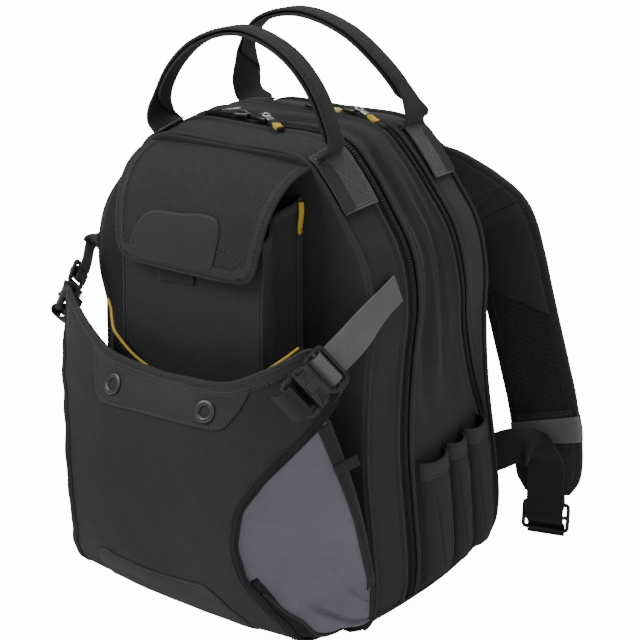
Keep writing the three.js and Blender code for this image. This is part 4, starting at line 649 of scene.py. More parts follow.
def finish(name, colour, rough, pattern=None, bump=0.25, dust=0.0, rub=0.0, sheen=0.0, metallic=0.0,
        detail=FINE_GRAIN, light=DUST_TONE):
    """A material: a colour varied by wear, a pattern's tone and height, and a bump of that strength."""
    material = bpy.data.materials.new(name)
    material.use_nodes = True
    s = Shade(material.node_tree)
    shader = material.node_tree.nodes["Principled BSDF"]
    place = s.add("TexCoord").outputs["Object"]
    wear = s.add("Group")
    wear.node_tree = WEAR
    s.link(place, wear.inputs["Place"])
    wear.inputs["Dust"].default_value, wear.inputs["Rub"].default_value = dust, rub
    tone = wear.outputs["Tone"]
    if pattern:
        tree, values = pattern
        flat = s.add("UVMap")
        flat.uv_map = "UVMap"
        node = s.add("Group")
        node.node_tree = tree
        s.link(flat.outputs[0], node.inputs["Flat"])
        if "Place" in node.inputs:
            s.link(place, node.inputs["Place"])
        for key, value in values.items():
            node.inputs[key].default_value = value
        tone, height = s.math("MULTIPLY", tone, node.outputs["Tone"]), node.outputs["Height"]
    else:
        height = s.noise(place, detail, 3.0)
    scaled = s.add("VectorMath", operation="SCALE")
    scaled.inputs[0].default_value = colour
    s.link(tone, scaled.inputs["Scale"])
    base = s.mix(wear.outputs["Light"], scaled.outputs[0], (*light, 1))
    s.link(base, shader.inputs["Base Color"])
    spread = s.math("MULTIPLY_ADD", s.noise(place, 60.0, 3.0), ROUGH_SPREAD, rough - ROUGH_SPREAD / 2)
    s.link(spread, shader.inputs["Roughness"])
    bump_node = s.add("Bump")
    bump_node.inputs["Strength"].default_value = bump
    bump_node.inputs["Distance"].default_value = BUMP_DEPTH
    s.link(height, bump_node.inputs["Height"])
    s.link(bump_node.outputs[0], shader.inputs["Normal"])
    shader.inputs["Metallic"].default_value = metallic
    shader.inputs["Sheen Weight"].default_value = sheen
    shader.inputs["Sheen Roughness"].default_value = 0.45
    shader.inputs["Specular IOR Level"].default_value = 0.35 if not metallic else 0.5
    return material


CANVAS = finish("canvas", (0.027, 0.027, 0.028), 0.82, (WEAVE, {"Yarn": 1.3}), 0.4, 0.03, 0.1, sheen=0.03)
LINING = finish("lining", (0.012, 0.012, 0.0125), 0.8, (WEAVE, {"Yarn": 0.9}), 0.2, 0.0, 0.0)
COATED = finish("coated_cloth", (0.028, 0.028, 0.029), 0.66, (WEAVE, {"Yarn": 0.8}), 0.18, 0.02, 0.08,
        sheen=0.02)
BASECLOTH = finish("base_cloth", (0.018, 0.018, 0.019), 0.75, (WEAVE, {"Yarn": 1.6}), 0.35, 0.03, 0.1)
BINDING = finish("binding", (0.030, 0.030, 0.031), 0.75, (RIBS, FINE_RIBS), 0.25, 0.02, 0.0,
        sheen=0.03)
GREYCLOTH = finish("grey_cloth", (0.152, 0.143, 0.176), 0.6, (WEAVE, {"Yarn": 0.9}), 0.16, 0.03, 0.05,
        sheen=0.12, light=(0.34, 0.33, 0.37))
GREYWEB = finish("grey_webbing", (0.13, 0.13, 0.132), 0.72, (RIBS, WEBBING_RIBS), 0.6, 0.03,
        0.08, sheen=0.08, light=(0.3, 0.3, 0.3))
BLACKWEB = finish("black_webbing", (0.019, 0.019, 0.0198), 0.76, (RIBS, WEBBING_RIBS), 0.6,
        0.03, 0.08, sheen=0.03)
FOOTWEB = finish("foot_webbing", (0.062, 0.062, 0.063), 0.74, (RIBS, WEBBING_RIBS), 0.6, 0.03,
        0.08, sheen=0.05)
ZIPTAPE = finish("zip_tape", (0.013, 0.013, 0.0135), 0.75, (RIBS, {"Rib": 0.9, "Slant": 0.2}), 0.3, 0.0, 0.05)
COIL = finish("zip_coil", (0.012, 0.012, 0.0125), 0.5, None, 0.1, 0.0, 0.05)
AIRMESH = finish("air_mesh", (0.019, 0.019, 0.0195), 0.85, (WEAVE, {"Yarn": 2.6}), 0.8, 0.01, 0.05,
        sheen=0.02)
HEMCLOTH = finish("hem_cloth", (0.040, 0.040, 0.041), 0.78, (WEAVE, {"Yarn": 1.0}), 0.25, 0.03, 0.05)
PLASTIC = finish("moulded_plastic", (0.012, 0.012, 0.0125), 0.38, None, 0.12, 0.01, 0.1, detail=900.0)
BLACKMETAL = finish("black_metal", (0.07, 0.07, 0.073), 0.36, None, 0.05, 0.0, 0.3, metallic=0.8)
SILVER = finish("plated_metal", (0.62, 0.61, 0.6), 0.3, None, 0.05, 0.0, 0.2, metallic=1.0)
DARKSILVER = finish("dark_plated_metal", (0.16, 0.16, 0.16), 0.34, None, 0.05, 0.0, 0.3, metallic=1.0)
THREAD = finish("light_thread", (0.065, 0.065, 0.066), 0.75, None, 0.2)
PALETHREAD = finish("pale_thread", (0.16, 0.16, 0.163), 0.75, None, 0.2)
DARKTHREAD = finish("dark_thread", (0.034, 0.034, 0.035), 0.75, None, 0.2)
YELLOW = finish("yellow_tape", (0.62, 0.42, 0.05), 0.65, (RIBS, {"Rib": 0.9, "Slant": 0.0}), 0.3, 0.02, 0.0,
        light=(0.8, 0.7, 0.4))
PALETAB = finish("pale_tab", (0.72, 0.6, 0.22), 0.5, None, 0.1, 0.02, 0.0)


# Camera, light and floor
def glow_for_camera(tree, target, base=0.0):
    """A brightness that only the camera's own rays see, over a base that lights the bag."""
    seen, glow = tree.nodes.new("ShaderNodeLightPath"), tree.nodes.new("ShaderNodeMath")
    glow.operation = "MULTIPLY_ADD"
    glow.inputs[1].default_value, glow.inputs[2].default_value = FLOOR_GLOW, base
    tree.links.new(seen.outputs["Is Camera Ray"], glow.inputs[0])
    tree.links.new(glow.outputs[0], target)


def set_stage():
    """A pale floor under and behind the bag, a large soft light from the upper left and weaker fills."""
    turn, tilt = math.radians(CAMERA_TURN), math.radians(CAMERA_TILT)
    target = Vector(CAMERA_TARGET) * MM
    back = Vector((math.sin(turn) * math.cos(tilt), -math.cos(turn) * math.cos(tilt), math.sin(tilt)))
    lens = bpy.data.cameras.new("camera")
    lens.lens, lens.sensor_width, lens.clip_end = CAMERA_LENS, CAMERA_SENSOR, 50
    camera = bpy.data.objects.new("camera", lens)
    camera.location = target + back * CAMERA_DISTANCE * MM
    camera.rotation_euler = back.to_track_quat("Z", "Y").to_euler()
    bpy.context.scene.collection.objects.link(camera)
    bpy.context.scene.camera = camera

    bpy.ops.mesh.primitive_plane_add(size=14)
    floor = bpy.context.object
    floor.name = "floor"
    paint = bpy.data.materials.new("floor_paint")
    paint.use_nodes = True
    shader = paint.node_tree.nodes["Principled BSDF"]
    shader.inputs["Base Color"].default_value = (FLOOR_TONE, FLOOR_TONE, FLOOR_TONE, 1)
    shader.inputs["Roughness"].default_value = 0.9
    shader.inputs["Emission Color"].default_value = (1, 1, 1, 1)
    glow_for_camera(paint.node_tree, shader.inputs["Emission Strength"])
    floor.data.materials.append(paint)

    world = bpy.context.scene.world or bpy.data.worlds.new("world")
    bpy.context.scene.world = world
    world.use_nodes = True
    sky = world.node_tree.nodes["Background"]
    sky.inputs[0].default_value = (1, 1, 1, 1)
    glow_for_camera(world.node_tree, sky.inputs[1], SKY_LIGHT)
    for name, place, size, power in LAMPS:
        lamp = bpy.data.lights.new(name, "AREA")
        lamp.energy, lamp.size, lamp.shape = power, size, "SQUARE"
        light = bpy.data.objects.new(name, lamp)
        light.location = place
        light.rotation_euler = (Vector(place) - Vector((0, 0, 0.22))).to_track_quat("Z", "Y").to_euler()
        bpy.context.scene.collection.objects.link(light)


set_stage()


# Body: bands, seams and zips
def edge_rows(width, middle=16, fine=9.0, count=6):
    """Distances across a band, closer together near its two edges."""
    near = np.linspace(0, fine, count)
    return np.concatenate([near, np.linspace(fine, width - fine, middle)[1:-1], width - near[::-1]])


def zip_lip(d):
    """Cloth folded back beside a zip: a rounded roll at the edge and a sewn groove behind it."""
    return 1.5 * bell(d, 2.4, 2.2) - 1.5 * bell(d, 0, 1.0) - 1.0 * bell(d, 6.6, 1.3)


def seam_dip(d):
    """Cloth drawn down into a seam at its edge."""
    return -2.2 * np.exp(-d / 2.2)


# Rows of share across, width, lower and upper end in shares of the height, and depth
BAND_CREASES = [(0.3, 0.11, 0.38, 1.12, 6.0), (0.64, 0.1, 0.38, 0.98, 5.0), (0.47, 0.05, 0.5, 0.95, 1.6),
        (0.83, 0.06, 0.55, 1.0, 2.0)]


def creases(s, across, up):
    """Long folds down the main band, a shallow pair and fine unevenness."""
    deep = 0.0
    for where, wide, low, high, depth in BAND_CREASES:
        sway = where + 0.02 * np.sin(up * 9 + where * 20) * np.sign(0.5 - s)
        deep = deep - depth * bell(across, sway, wide) * ease(up, low, low + 0.22) * (1
                - ease(up, high - 0.18, high))
    return deep


def band(name, from_y, to_y, rows, relief, material):
    """A band of the body between two depths, round the sides and top, with its relief in millimetres."""
    s = np.linspace(band_end, 1 - band_end, STATIONS)
    z = np.maximum(outline.at(s)[:, 1], 0)
    y0, y1 = from_y(z), to_y(z)
    share = rows / rows[-1]
    y = y0[:, None] + (y1 - y0)[:, None] * share[None]
    width = (y1 - y0)[:, None]
    d0, d1 = share[None] * width, (1 - share[None]) * width
    run = (s * outline.length)[:, None] + 0 * y
    lift = relief(s[:, None], share[None], d0, d1, run, y, (z / BODY_HEIGHT)[:, None])
    return wall(name, body_point(s[:, None], y, lift), CLOTH, material, (0, 0, 200))


def front_relief(s, share, d0, d1, run, y, up):
    """The front band: a dip at its seam, a lip at its zip and a soft unevenness between them."""
    return seam_dip(d0) + zip_lip(d1) + 0.7 * ripple(run, y, 3, 60) * ease(d0, 2, 9) * ease(d1, 6, 14)


def main_relief(s, share, d0, d1, run, y, up):
    """The main band: a lip at each zip, fine puckers behind the lips, and long creases."""
    free = ease(d0, 6, 16) * ease(d1, 6, 16)
    pucker = 0.35 * np.sin(run * 2 * np.pi / 7 + ripple(run, y, 4, 50) * 3) * (bell(d0, 10, 4)
            + bell(d1, 10, 4))
    fine = (1.5 * ripple(run * 0.35, y, 5, 34) + 0.8 * ripple(run, y, 6, 46)) * free * ease(up, 0.36, 0.5)
    return zip_lip(d0) + zip_lip(d1) + creases(s, share, up) + fine + pucker


def rear_relief(s, share, d0, d1, run, y, up):
    """The rear band: a lip at its zip and a dip at its seam."""
    return zip_lip(d0) + seam_dip(d1) + 0.8 * ripple(run, y, 8, 70) * ease(d0, 6, 14) * ease(d1, 2, 8)


zip1_edge = lambda side: (lambda z: ZIP1_Y + side * (ZIP_WIDTH / 2 - 2.2) + 0 * z)
zip2_edge = lambda side: (lambda z: zip2_y(z) + side * (ZIP_WIDTH / 2 - 2.2))
dress(band("front_band_cloth", lambda z: FRONT_Y + 0 * z, zip1_edge(-1), edge_rows(40), front_relief, CANVAS),
      "body_cloth", "front_band")
dress(band("main_band_cloth", zip1_edge(1), zip2_edge(-1), edge_rows(70, middle=44), main_relief, CANVAS),
      "body_cloth", "main_band")
dress(band("rear_band_cloth", zip2_edge(1), rear_y, edge_rows(50, middle=18), rear_relief, CANVAS),
      "body_cloth", "rear_band")


def zip_run(name, centre, node):
    """A zip: two sunk tapes, the round chain in the middle, and its teeth as short bars across."""
    s = np.linspace(band_end, 1 - band_end, STATIONS)
    z = np.maximum(outline.at(s)[:, 1], 0)
    off = np.array([-9, -7, -5, -3.4, -2.6, -1.6, 0, 1.6, 2.6, 3.4, 5, 7, 9.0])
    rise = np.array([-2.6, -2.4, -2.2, -1.9, -1.2, -0.2, 0.3, -0.2, -1.2, -1.9, -2.2, -2.4, -2.6])
    grid = body_point(s[:, None], centre(z)[:, None] + off[None], rise[None])
    tapes = wall(name + "_tape", grid, 1.2, ZIPTAPE, (0, 0, 200))
    length = outline.length * (1 - 2 * band_end)
    count = int(length / TOOTH_PITCH)
    at = np.linspace(band_end + 0.002, 1 - band_end - 0.002, count)
    zz = np.maximum(outline.at(at)[:, 1], 0)
    left = body_point(at, centre(zz) - TOOTH_HALF, TOOTH_FOOT)
    right = body_point(at, centre(zz) + TOOTH_HALF, TOOTH_FOOT)
    middle = body_point(at, centre(zz), TOOTH_TOP)
    up = unit(middle - (left + right) / 2)
    along = unit(np.cross(right - left, up))
    path = np.stack([left, left * 0.55 + middle * 0.45, middle, right * 0.55 + middle * 0.45, right], 1)
    ring = np.array([(-0.62, -0.4), (0.62, -0.4), (0.45, 0.5), (-0.45, 0.5)])
    points = (path[:, :, None] + along[:, None, None] * ring[None, None, :, :1] + up[:, None, None]
            * ring[None, None, :, 1:])
    faces = repeated(cells(5, 4, wrap_columns=True), count, 20)
    caps = repeated([[3, 2, 1, 0], [16, 17, 18, 19]], count, 20)
    teeth = build(name + "_teeth", points, [faces, caps], COIL)
    dress(tapes, "zip_tape", node)
    dress(teeth, "zip_tape")


zip_run("front_zip", lambda z: ZIP1_Y + 0 * z, "zip_front")
zip_run("main_zip", zip2_y, "zip_main")


def seam_cord(name, depth, lift, radius):
    """Piping in a seam round the body's outline at a depth."""
    s = np.linspace(band_end * 0.9, 1 - band_end * 0.9, STATIONS)
    z = np.maximum(outline.at(s)[:, 1], 0)
    dress(cord_along(name, body_point(s, depth(z), lift), radius, BINDING), "body_cloth")


seam_cord("front_seam_piping", lambda z: FRONT_Y - 1.2 + 0 * z, 0.2, 1.9)
seam_cord("rear_seam_piping", lambda z: rear_y(z) + 0.8, 0.2, 2.1)

s_base = np.linspace(-band_end, band_end, 90)
y_base = np.linspace(0, 1, 40)
base_z = np.maximum(outline.at(s_base % 1.0)[:, 1], 0)
base_y = FRONT_Y + (rear_y(base_z) - FRONT_Y)[:, None] * y_base[None]
dress(wall("base_cloth", body_point(s_base[:, None], base_y), 3.0, BASECLOTH, (0, 0, 200)), "base_cloth",
      "base")
for side in (1, -1):
    edge = np.full(60, side * band_end)
    yy = np.linspace(FRONT_Y, rear_y(BASE_TURN_UP), 60)
    dress(cord_along(f"base_seam_{'right' if side > 0 else 'left'}", body_point(edge, yy, 0.3), 1.7, BINDING,
            hint=(0, 0, 1)), "base_cloth")


def panel(name, depth, material, node, bulge, away, thick=CLOTH):
    """A flat closing panel of the body, with a slight bulge, between its outline's two sides."""
    up = np.concatenate([np.linspace(0, 0.05, 8), np.linspace(0.06, 0.94, 60), np.linspace(0.95, 1, 8)])
    z = up * BODY_HEIGHT
    x = np.linspace(-1, 1, 61)[None] * half_width(np.clip(z, 1, BODY_HEIGHT - 1))[:, None]
    x = x - left_fullness(x, z[:, None])
    zz = np.broadcast_to(z[:, None], x.shape)
    fade = (1 - (np.linspace(-1, 1, 61)[None]) ** 4) * np.sin(np.pi * np.clip(up, 0, 1))[:, None]
    y = depth(zz) + bulge * fade + 0.5 * np.sign(bulge) * ripple(x, zz, 21, 80) * fade
    return dress(wall(name, np.stack([x, y, zz], -1), thick, material, away), "body_cloth", node)


panel("front_panel_cloth", lambda z: FRONT_Y - SEAM_GAP - CLOTH + 0 * z, CANVAS, "front_panel", -1.0,
      (0, 0, 200))
panel("back_panel_cloth", lambda z: rear_y(z) + SEAM_GAP + CLOTH, CANVAS, "back_panel", 1.5, (0, 0, 200))


# Front: pouch, pocket and flap surfaces
def smooth_rows(rows, count):
    """Rows of points joined by uniform Catmull-Rom cubics and read at count even steps."""
    p = np.concatenate([2 * rows[:1] - rows[1:2], rows, 2 * rows[-1:] - rows[-2:-1]])
    x = np.linspace(0, len(rows) - 1, count)
    i = np.minimum(x.astype(int), len(rows) - 2)
    t = (x - i).reshape((-1,) + (1,) * (rows.ndim - 1))
    a, b, c, d = p[i], p[i + 1], p[i + 2], p[i + 3]
    return b + 0.5 * t * (c - a + t * (2 * a - 5 * b + 4 * c - d + t * (3 * (b - c) + d - a)))


# Rows of middle ahead and up, edge out, ahead and up: shares of the pouch's reach, height and half width
POUCH = np.array([
    (0, 0.02, 0.88, 0, 0.06), (0.3, 0.035, 0.86, 0.3, 0.07), (0.6, 0.068, 0.82, 0.59, 0.09),
    (0.75, 0.14, 0.79, 0.73, 0.16), (0.85, 0.21, 0.72, 0.84, 0.235), (0.93, 0.29, 0.655, 0.92, 0.3),
    (0.98, 0.37, 0.62, 0.98, 0.37), (1, 0.455, 0.61, 1, 0.455), (0.99, 0.54, 0.63, 0.98, 0.54),
    (0.95, 0.64, 0.69, 0.89, 0.61), (0.885, 0.735, 0.78, 0.77, 0.68), (0.845, 0.78, 0.87, 0.65, 0.745),
    (0.795, 0.825, 0.945, 0.53, 0.815), (0.765, 0.855, 1, 0.39, 0.9)])
# Rows of across, up and ahead: the scooped rim
RIM = np.array([(0, 0.855, 0.765), (0.3, 0.865, 0.76), (0.45, 0.88, 0.745), (0.62, 0.925, 0.69),
        (0.76, 0.97, 0.62), (0.85, 1, 0.565), (0.93, 0.972, 0.47), (1, 0.9, 0.39)])
POUCH_ACROSS = np.linspace(-1, 1, 161)


def pouch_grid():
    """The panel from the seam under the body to the rim: the middle line blends to the side edges by the
    cube and square of the distance across, and the last row is the scooped rim."""
    a = np.abs(POUCH_ACROSS)[None]
    mid_ahead, mid_up, out, edge_ahead, edge_up = (POUCH[:, k:k + 1] for k in range(5))
    ahead = mid_ahead + (edge_ahead - mid_ahead) * a ** 3
    up = mid_up + (edge_up - mid_up) * a * a
    ahead[-1], up[-1] = smooth_table(RIM[:, 0], RIM[:, 2], a[0]), smooth_table(RIM[:, 0], RIM[:, 1], a[0])
    rows = np.stack([out * POUCH_HALF_WIDTH * POUCH_ACROSS[None], ON_FRONT - ahead * POUCH_REACH,
            up * POUCH_HEIGHT], -1)
    grid = smooth_rows(rows, 150)
    n = grid_normals(grid, (0, -100, 120))
    flat = lengths(grid)
    inner = 1 - a ** 6
    high = np.linspace(0, 1, 150)[:, None]
    wave = 1.3 * ripple(flat[..., 0], flat[..., 1], 31, 120) + 0.35 * ripple(flat[..., 0], flat[..., 1], 32,
            34)
    tug = 0.8 * np.sin(flat[..., 1] / 5.5) * bell(np.abs(POUCH_ACROSS)[None], 0.97, 0.05) * ease(high, 0.15,
            0.3)
    return grid + n * ((wave * inner * ease(high, 0, 0.1) + tug * (1 - ease(high, 0.86, 0.97)))[..., None])


pouch = Surface(pouch_grid(), (0, -100, 120))

# Rows of out, ahead and drop: the flap from its seam to its hem
FLAP = np.array([(1, 0.062, 0), (0.99, 0.33, 0.045), (0.975, 0.58, 0.16), (0.945, 0.77, 0.34),
        (0.92, 0.87, 0.51), (0.895, 0.94, 0.7), (0.865, 0.985, 0.88), (0.8, 1, 0.985), (0.7, 1.0, 1.03)])


def flap_grid():
    """The flap: rows that come forward and then fall, narrower towards the hem, with drooping sides."""
    u = np.linspace(-1, 1, 101)[None]
    out, ahead, drop = (smooth_rows(FLAP[:, k], 110)[:, None] for k in range(3))
    droop, fall = 2.5 * u ** 4 * drop, 3.5 * u * u * (1 - drop)
    x = out * FLAP_HALF_WIDTH * u
    y = FRONT_Y - ahead * FLAP_REACH + droop
    z = BODY_HEIGHT - 4 - fall - drop * FLAP_DROP
    grid = np.stack([x, y, z], -1)
    n = grid_normals(grid, (0, -100, 300))
    flat = lengths(grid)
    free = np.sin(np.pi * np.linspace(0, 1, 110))[:, None]
    dent = -2.2 * bell(u, -0.35, 0.35) * bell(np.linspace(0, 1, 110)[:, None], 0.45, 0.25)
    return grid + n * ((0.9 * ripple(flat[..., 0], flat[..., 1], 41, 90) * free + dent)[..., None])


flap = Surface(flap_grid(), (0, -100, 300))


def pocket_grid():
    """The box pocket's wall, from the front panel round its two front corners and back: a rounded square
    path, lifted up row by row, with folded sides."""
    r, depth = POCKET_CORNER, POCKET_DEPTH
    leg, straight = depth - r, 2 * (POCKET_HALF_WIDTH - r)
    quarter = np.linspace(0, np.pi / 2, 7)[1:-1]
    left = [(-POCKET_HALF_WIDTH, a) for a in np.linspace(0, leg, 16)]
    turn = [(-POCKET_HALF_WIDTH + r - r * math.cos(q), leg + r * math.sin(q)) for q in quarter]
    front = [(-POCKET_HALF_WIDTH + r + a, depth) for a in np.linspace(0, straight, 61)]
    path = np.array(left + turn + front + [(-x, a) for x, a in (left + turn)[::-1]])
    path[len(left + turn + front):, 0] = -np.array([x for x, _ in (left + turn)[::-1]])
    share = np.linspace(0, 1, len(path))[None]
    up = np.linspace(0, 1, 90)[:, None]
    x, ahead = np.broadcast_to(path[:, 0], (90, len(path))), np.broadcast_to(path[:, 1], (90, len(path)))
    bulge = POCKET_BULGE * np.sin(np.pi * share) * np.sin(np.pi * np.minimum(1, up + 0.1))
    z = POCKET_BOTTOM + (POCKET_TOP - POCKET_BOTTOM) * up + SIDE_RISE * (1 - ahead / depth) * up
    on_side = 1 - ease(ahead, depth - 14, depth - 2)
    fold = 9.0 * on_side * bell(ahead, 24, 13) * ease(up, 0.1, 0.5)
    crumple = 2.2 * ripple(ahead, z, 51, 40) * on_side * bell(ahead, 24, 18)
    x = x - np.sign(x) * (fold + crumple * ease(np.abs(x), 60, 70))
    wave = 0.9 * ripple(x, z, 52, 80) * (1 - on_side)
    y = ON_FRONT - ahead - bulge - wave
    return np.stack([x, y, z], -1)


pocket = Surface(pocket_grid(), (0, -110, 250))


def between(surface, top, low, rows, columns, lift):
    """A grid on a surface that runs from one path in shares to another, at a lift."""
    t, k = np.linspace(0, 1, columns), np.linspace(0, 1, rows)[:, None]
    a, b = (Line([(u, v, 0) for u, v in path]).at(t)[:, :2] for path in (top, low))
    share = a[None] * (1 - k[..., None]) + b[None] * k[..., None]
    return surface.at(share[..., 0], share[..., 1], lift)


def bartack(surface, u, v, width, rows=3, along=(1, 0), colour="light"):
    """A short block of close stitches at a point of a surface, width millimetres long."""
    line = surface.at(np.array([u, u + 0.004]), np.array([v, v]))
    n = surface.normal(u, v)
    x = unit(line[1] - line[0])
    y = unit(np.cross(n, x))
    d = x * along[0] + y * along[1]
    e = unit(np.cross(n, d))
    at = surface.at(u, v, 0.6)
    for k in range(int(width / 1.1)):
        p = at + d * (k * 1.1 - width / 2)
        stitch(np.array([p - e * rows * 0.7, p + e * rows * 0.7 + d * 0.5]), np.array([n, n]), colour,
               length=rows * 1.3, gap=0.1, radius=0.5)


def lathe(name, profile, at, axis, material, around=44, **options):
    """A closed profile of radius and height turned about an axis through a point."""
    axis = unit(np.asarray(axis, float))
    x, y = across_axes(axis[None], (0.3, 0.2, 1))
    a = 2 * np.pi * np.arange(around) / around
    p = np.array(profile, float)
    ring = x * np.cos(a)[:, None] + y * np.sin(a)[:, None]
    points = at + p[:, None, :1] * ring[None] + p[:, None, 1:] * axis
    faces = cells(len(p), around, wrap_rows=True, wrap_columns=True)
    body = build(name, points, [faces], material, **options)
    bpy.context.view_layer.update()
    flipped = sum(f.normal.dot(f.center - Vector(at * MM)) for f in list(body.data.polygons)[:around]) < 0
    if flipped:
        body.data.flip_normals()
    return body


# Closed profiles, rows of radius and height over the cloth
EYELET_RING = [(4.2, -3.4), (6.5, -3.6), (8.6, -3.3), (8.8, -2.9), (5.6, -2.9), (5.4, 1.6), (8.9, 1.5),
        (9.3, 1.9), (9.1, 2.5), (8.0, 3.0), (6.4, 3.1), (5.1, 2.7), (4.3, 1.6)]
# Painted shade: a dark disc just behind the cloth of each eyelet, so that the hole reads black
EYELET_SHADE_DISC = [(0.05, -3.2), (4.4, -3.2), (4.4, -2.7), (0.05, -2.7)]


def make_pouch():
    """The pouch panel with its pierced eyelets, bound rim, stitched patches and bound side edges."""
    panel_piece = wall("pouch_cloth", pouch.grid, CLOTH, CANVAS, (0, -100, 120))
    for side, u, v in EYELET_SPOTS:
        at, n = pouch.at(u, v), pouch.normal(u, v)
        bpy.ops.mesh.primitive_cylinder_add(vertices=40, radius=EYELET_BORE * MM, depth=0.03)
        cutter = bpy.context.object
        cutter.location = Vector(at * MM)
        cutter.rotation_euler = Vector(n).to_track_quat("Z", "Y").to_euler()
        bpy.context.view_layer.update()
        cut = panel_piece.modifiers.new("eyelet", "BOOLEAN")
        cut.operation, cut.solver, cut.object = "DIFFERENCE", "FAST", cutter
        with bpy.context.temp_override(object=panel_piece, active_object=panel_piece):
            bpy.ops.object.modifier_apply(modifier=cut.name)
        bpy.data.objects.remove(cutter)
        dress(lathe(f"eyelet_ring_{side}", EYELET_RING, at, n, BLACKMETAL), "eyelet_metal", f"eyelet_{side}")
        # Painted shade: a dark disc of lining cloth behind the eyelet, so that its hole reads black
        dress(lathe(f"eyelet_shade_disc_{side}", EYELET_SHADE_DISC, at, n, LINING), "body_cloth")
    dress(panel_piece, "body_cloth", "pouch_panel")

    across = np.linspace(0, 1, 200)
    rim = (across, np.ones(200))
    edge = pouch.at(*rim)
    dress(cord_along("pouch_rim_edge", edge - pouch.normal(*rim) * 1.2, 1.95, BINDING, corners=12),
          "patch_cloth")
    u, v = even(*rim, pouch)
    down = pouch.beside(u, v, -4.4)
    dress(tape("pouch_rim_binding", pouch, *down, 8.6, 0.9, BINDING), "patch_cloth")
    stitch_on(pouch, *rim, side=-2.4, lift=0.95, colour="dark")
    stitch_on(pouch, *rim, side=-8.2, lift=0.95)

    top = [(0.214, 0.975), (0.3, 0.972), (0.5, 0.965), (0.7, 0.965), (0.785, 0.978)]
    low = [(0.213, 0.86), (0.216, 0.815), (0.235, 0.785), (0.27, 0.775), (0.4, 0.772), (0.55, 0.776),
            (0.7, 0.79), (0.74, 0.8), (0.762, 0.822), (0.768, 0.86), (0.775, 0.92)]
    patch = wall("mouth_patch_cloth", between(pouch, top, low, 24, 120, 1.0), 0.9, COATED, (0, -100, 120))
    dress(patch, "patch_cloth", "mouth_patch")
    line = Line([(u, v, 0) for u, v in [(0.214, 0.955)] + low + [(0.779, 0.945)]]).at(np.linspace(0, 1, 160))
    inside = pouch.beside(*even(line[:, 0], line[:, 1], pouch), 2.2)
    stitch(pouch.at(*inside, 1.15), pouch.normal(*inside))

    top = [(0.15, 0.285), (0.165, 0.318), (0.2, 0.334), (0.24, 0.322), (0.35, 0.318), (0.5, 0.32),
            (0.65, 0.33), (0.72, 0.334), (0.75, 0.318), (0.79, 0.262), (0.81, 0.2)]
    low = [(0.17, 0.13), (0.35, 0.13), (0.5, 0.13), (0.65, 0.13), (0.8, 0.13)]
    patch = wall("lower_patch_cloth", between(pouch, top, low, 26, 120, 1.0), 0.9, COATED, (0, -100, 120))
    dress(patch, "patch_cloth", "lower_patch")
    line = Line([(u, v, 0) for u, v in top]).at(np.linspace(0, 1, 160))[:, :2]
    for distance in (-2.0, -5.2):
        inside = pouch.beside(*even(line[:, 0], line[:, 1], pouch), distance)
        stitch(pouch.at(*inside, 1.15), pouch.normal(*inside))
    bartack(pouch, 0.262, 0.305, 13, 3, (0.95, -0.3))
    bartack(pouch, 0.735, 0.29, 13, 3, (0.85, -0.5))

    for side, u0, u1 in (("left", 0.0, 0.012), ("right", 1.0, 0.988)):
        v = np.linspace(0.03, 0.97, 160)
        edge = pouch.at(np.full(160, u0), v)
        dress(cord_along(f"pouch_edge_{side}", edge - pouch.normal(np.full(160, u0), v) * 1.3, 1.5, LINING,
                hint=(1, 0, 0)), "patch_cloth")
        path = even(np.full(160, u1), v, pouch)
        dress(tape(f"pouch_edge_tape_{side}", pouch, *path, 7.5, 0.8, LINING), "patch_cloth")
        stitch_on(pouch, *path, side=3.0 if u0 else -3.0, lift=0.9, colour="dark")


make_pouch()


# Rows of rise, the fold's two ends (down and across, in shares), width, and where it fades in and out
GUSSET_FOLDS = [(-3.4, 0.93, 0.97, 0.66, 0.35, 0.018, "rear", 0.3, 1.02),
        (2.6, 0.97, 0.97, 0.72, 0.33, 0.03, "rear", 0.25, 1.02), (-2.6, 0.83, 0.02, 0.62, 0.4, 0.02, "front",
        0.5, 1.05), (1.8, 0.87, 0.02, 0.66, 0.4, 0.022, "front", 0.5, 1.05),
        (-2.0, 0.75, 0.0, 0.45, 0.25, 0.014, "front", 0.65, 1.05), (-1.6, 0.1, 0.3, 0.5, 0.9, 0.03, "down",
        0.08, 0.6)]


def gusset_grid(sign):
    """The side leaf between the panel's edge and the front seam: straight lines across, bellied out by a
    sine in both directions, then creased from its lower corners."""
    v = np.linspace(12 / 13, 0, 110)
    u = np.full(110, 1.0 if sign > 0 else 0.0)
    front = pouch.at(u, v) - pouch.normal(u, v) * 3.2
    front[:, 0] -= sign * 1.0
    along = np.linspace(0, 1, 110)
    z = GUSSET_TOP + (front[-1, 2] - GUSSET_TOP) * along
    rear = np.stack([sign * (half_width(z) - 0.5), np.full(110, ON_FRONT - 0.4), z], -1)
    t = np.linspace(0, 1, 60)[None, :, None]
    grid = front[:, None] * (1 - t) + rear[:, None] * t
    tt, aa = t[..., 0], along[:, None]
    grid[..., 0] += sign * GUSSET_BELLY * np.sin(np.pi * tt) * np.sin(np.pi * (0.15 + 0.85 * aa))
    n = grid_normals(grid, (0, -100, 100))
    near = {"rear": tt, "front": 1 - tt, "down": aa}
    fold = 0.0
    for rise, a0, t0, a1, t1, width, way, low, high in GUSSET_FOLDS:
        window = ease(near[way], low, low + 0.12) * (1 - ease(near[way], high - 0.15, high))
        fold = fold + rise * bell((aa - a0) * (t1 - t0) - (tt - t0) * (a1 - a0), 0, width) * window
    pucker = 0.7 * np.sin(aa * 95 + 2 * ripple(aa * 100, tt * 30, 61, 40)) * (bell(tt, 0, 0.1)
            + bell(tt, 1, 0.08))
    soft = 1.1 * ripple(aa * 170, tt * 110, 62, 60) * np.sin(np.pi * tt)
    return grid + n * ((fold + pucker + soft) * np.minimum(1, 12 * tt * (1 - tt) + 0.15))[..., None]


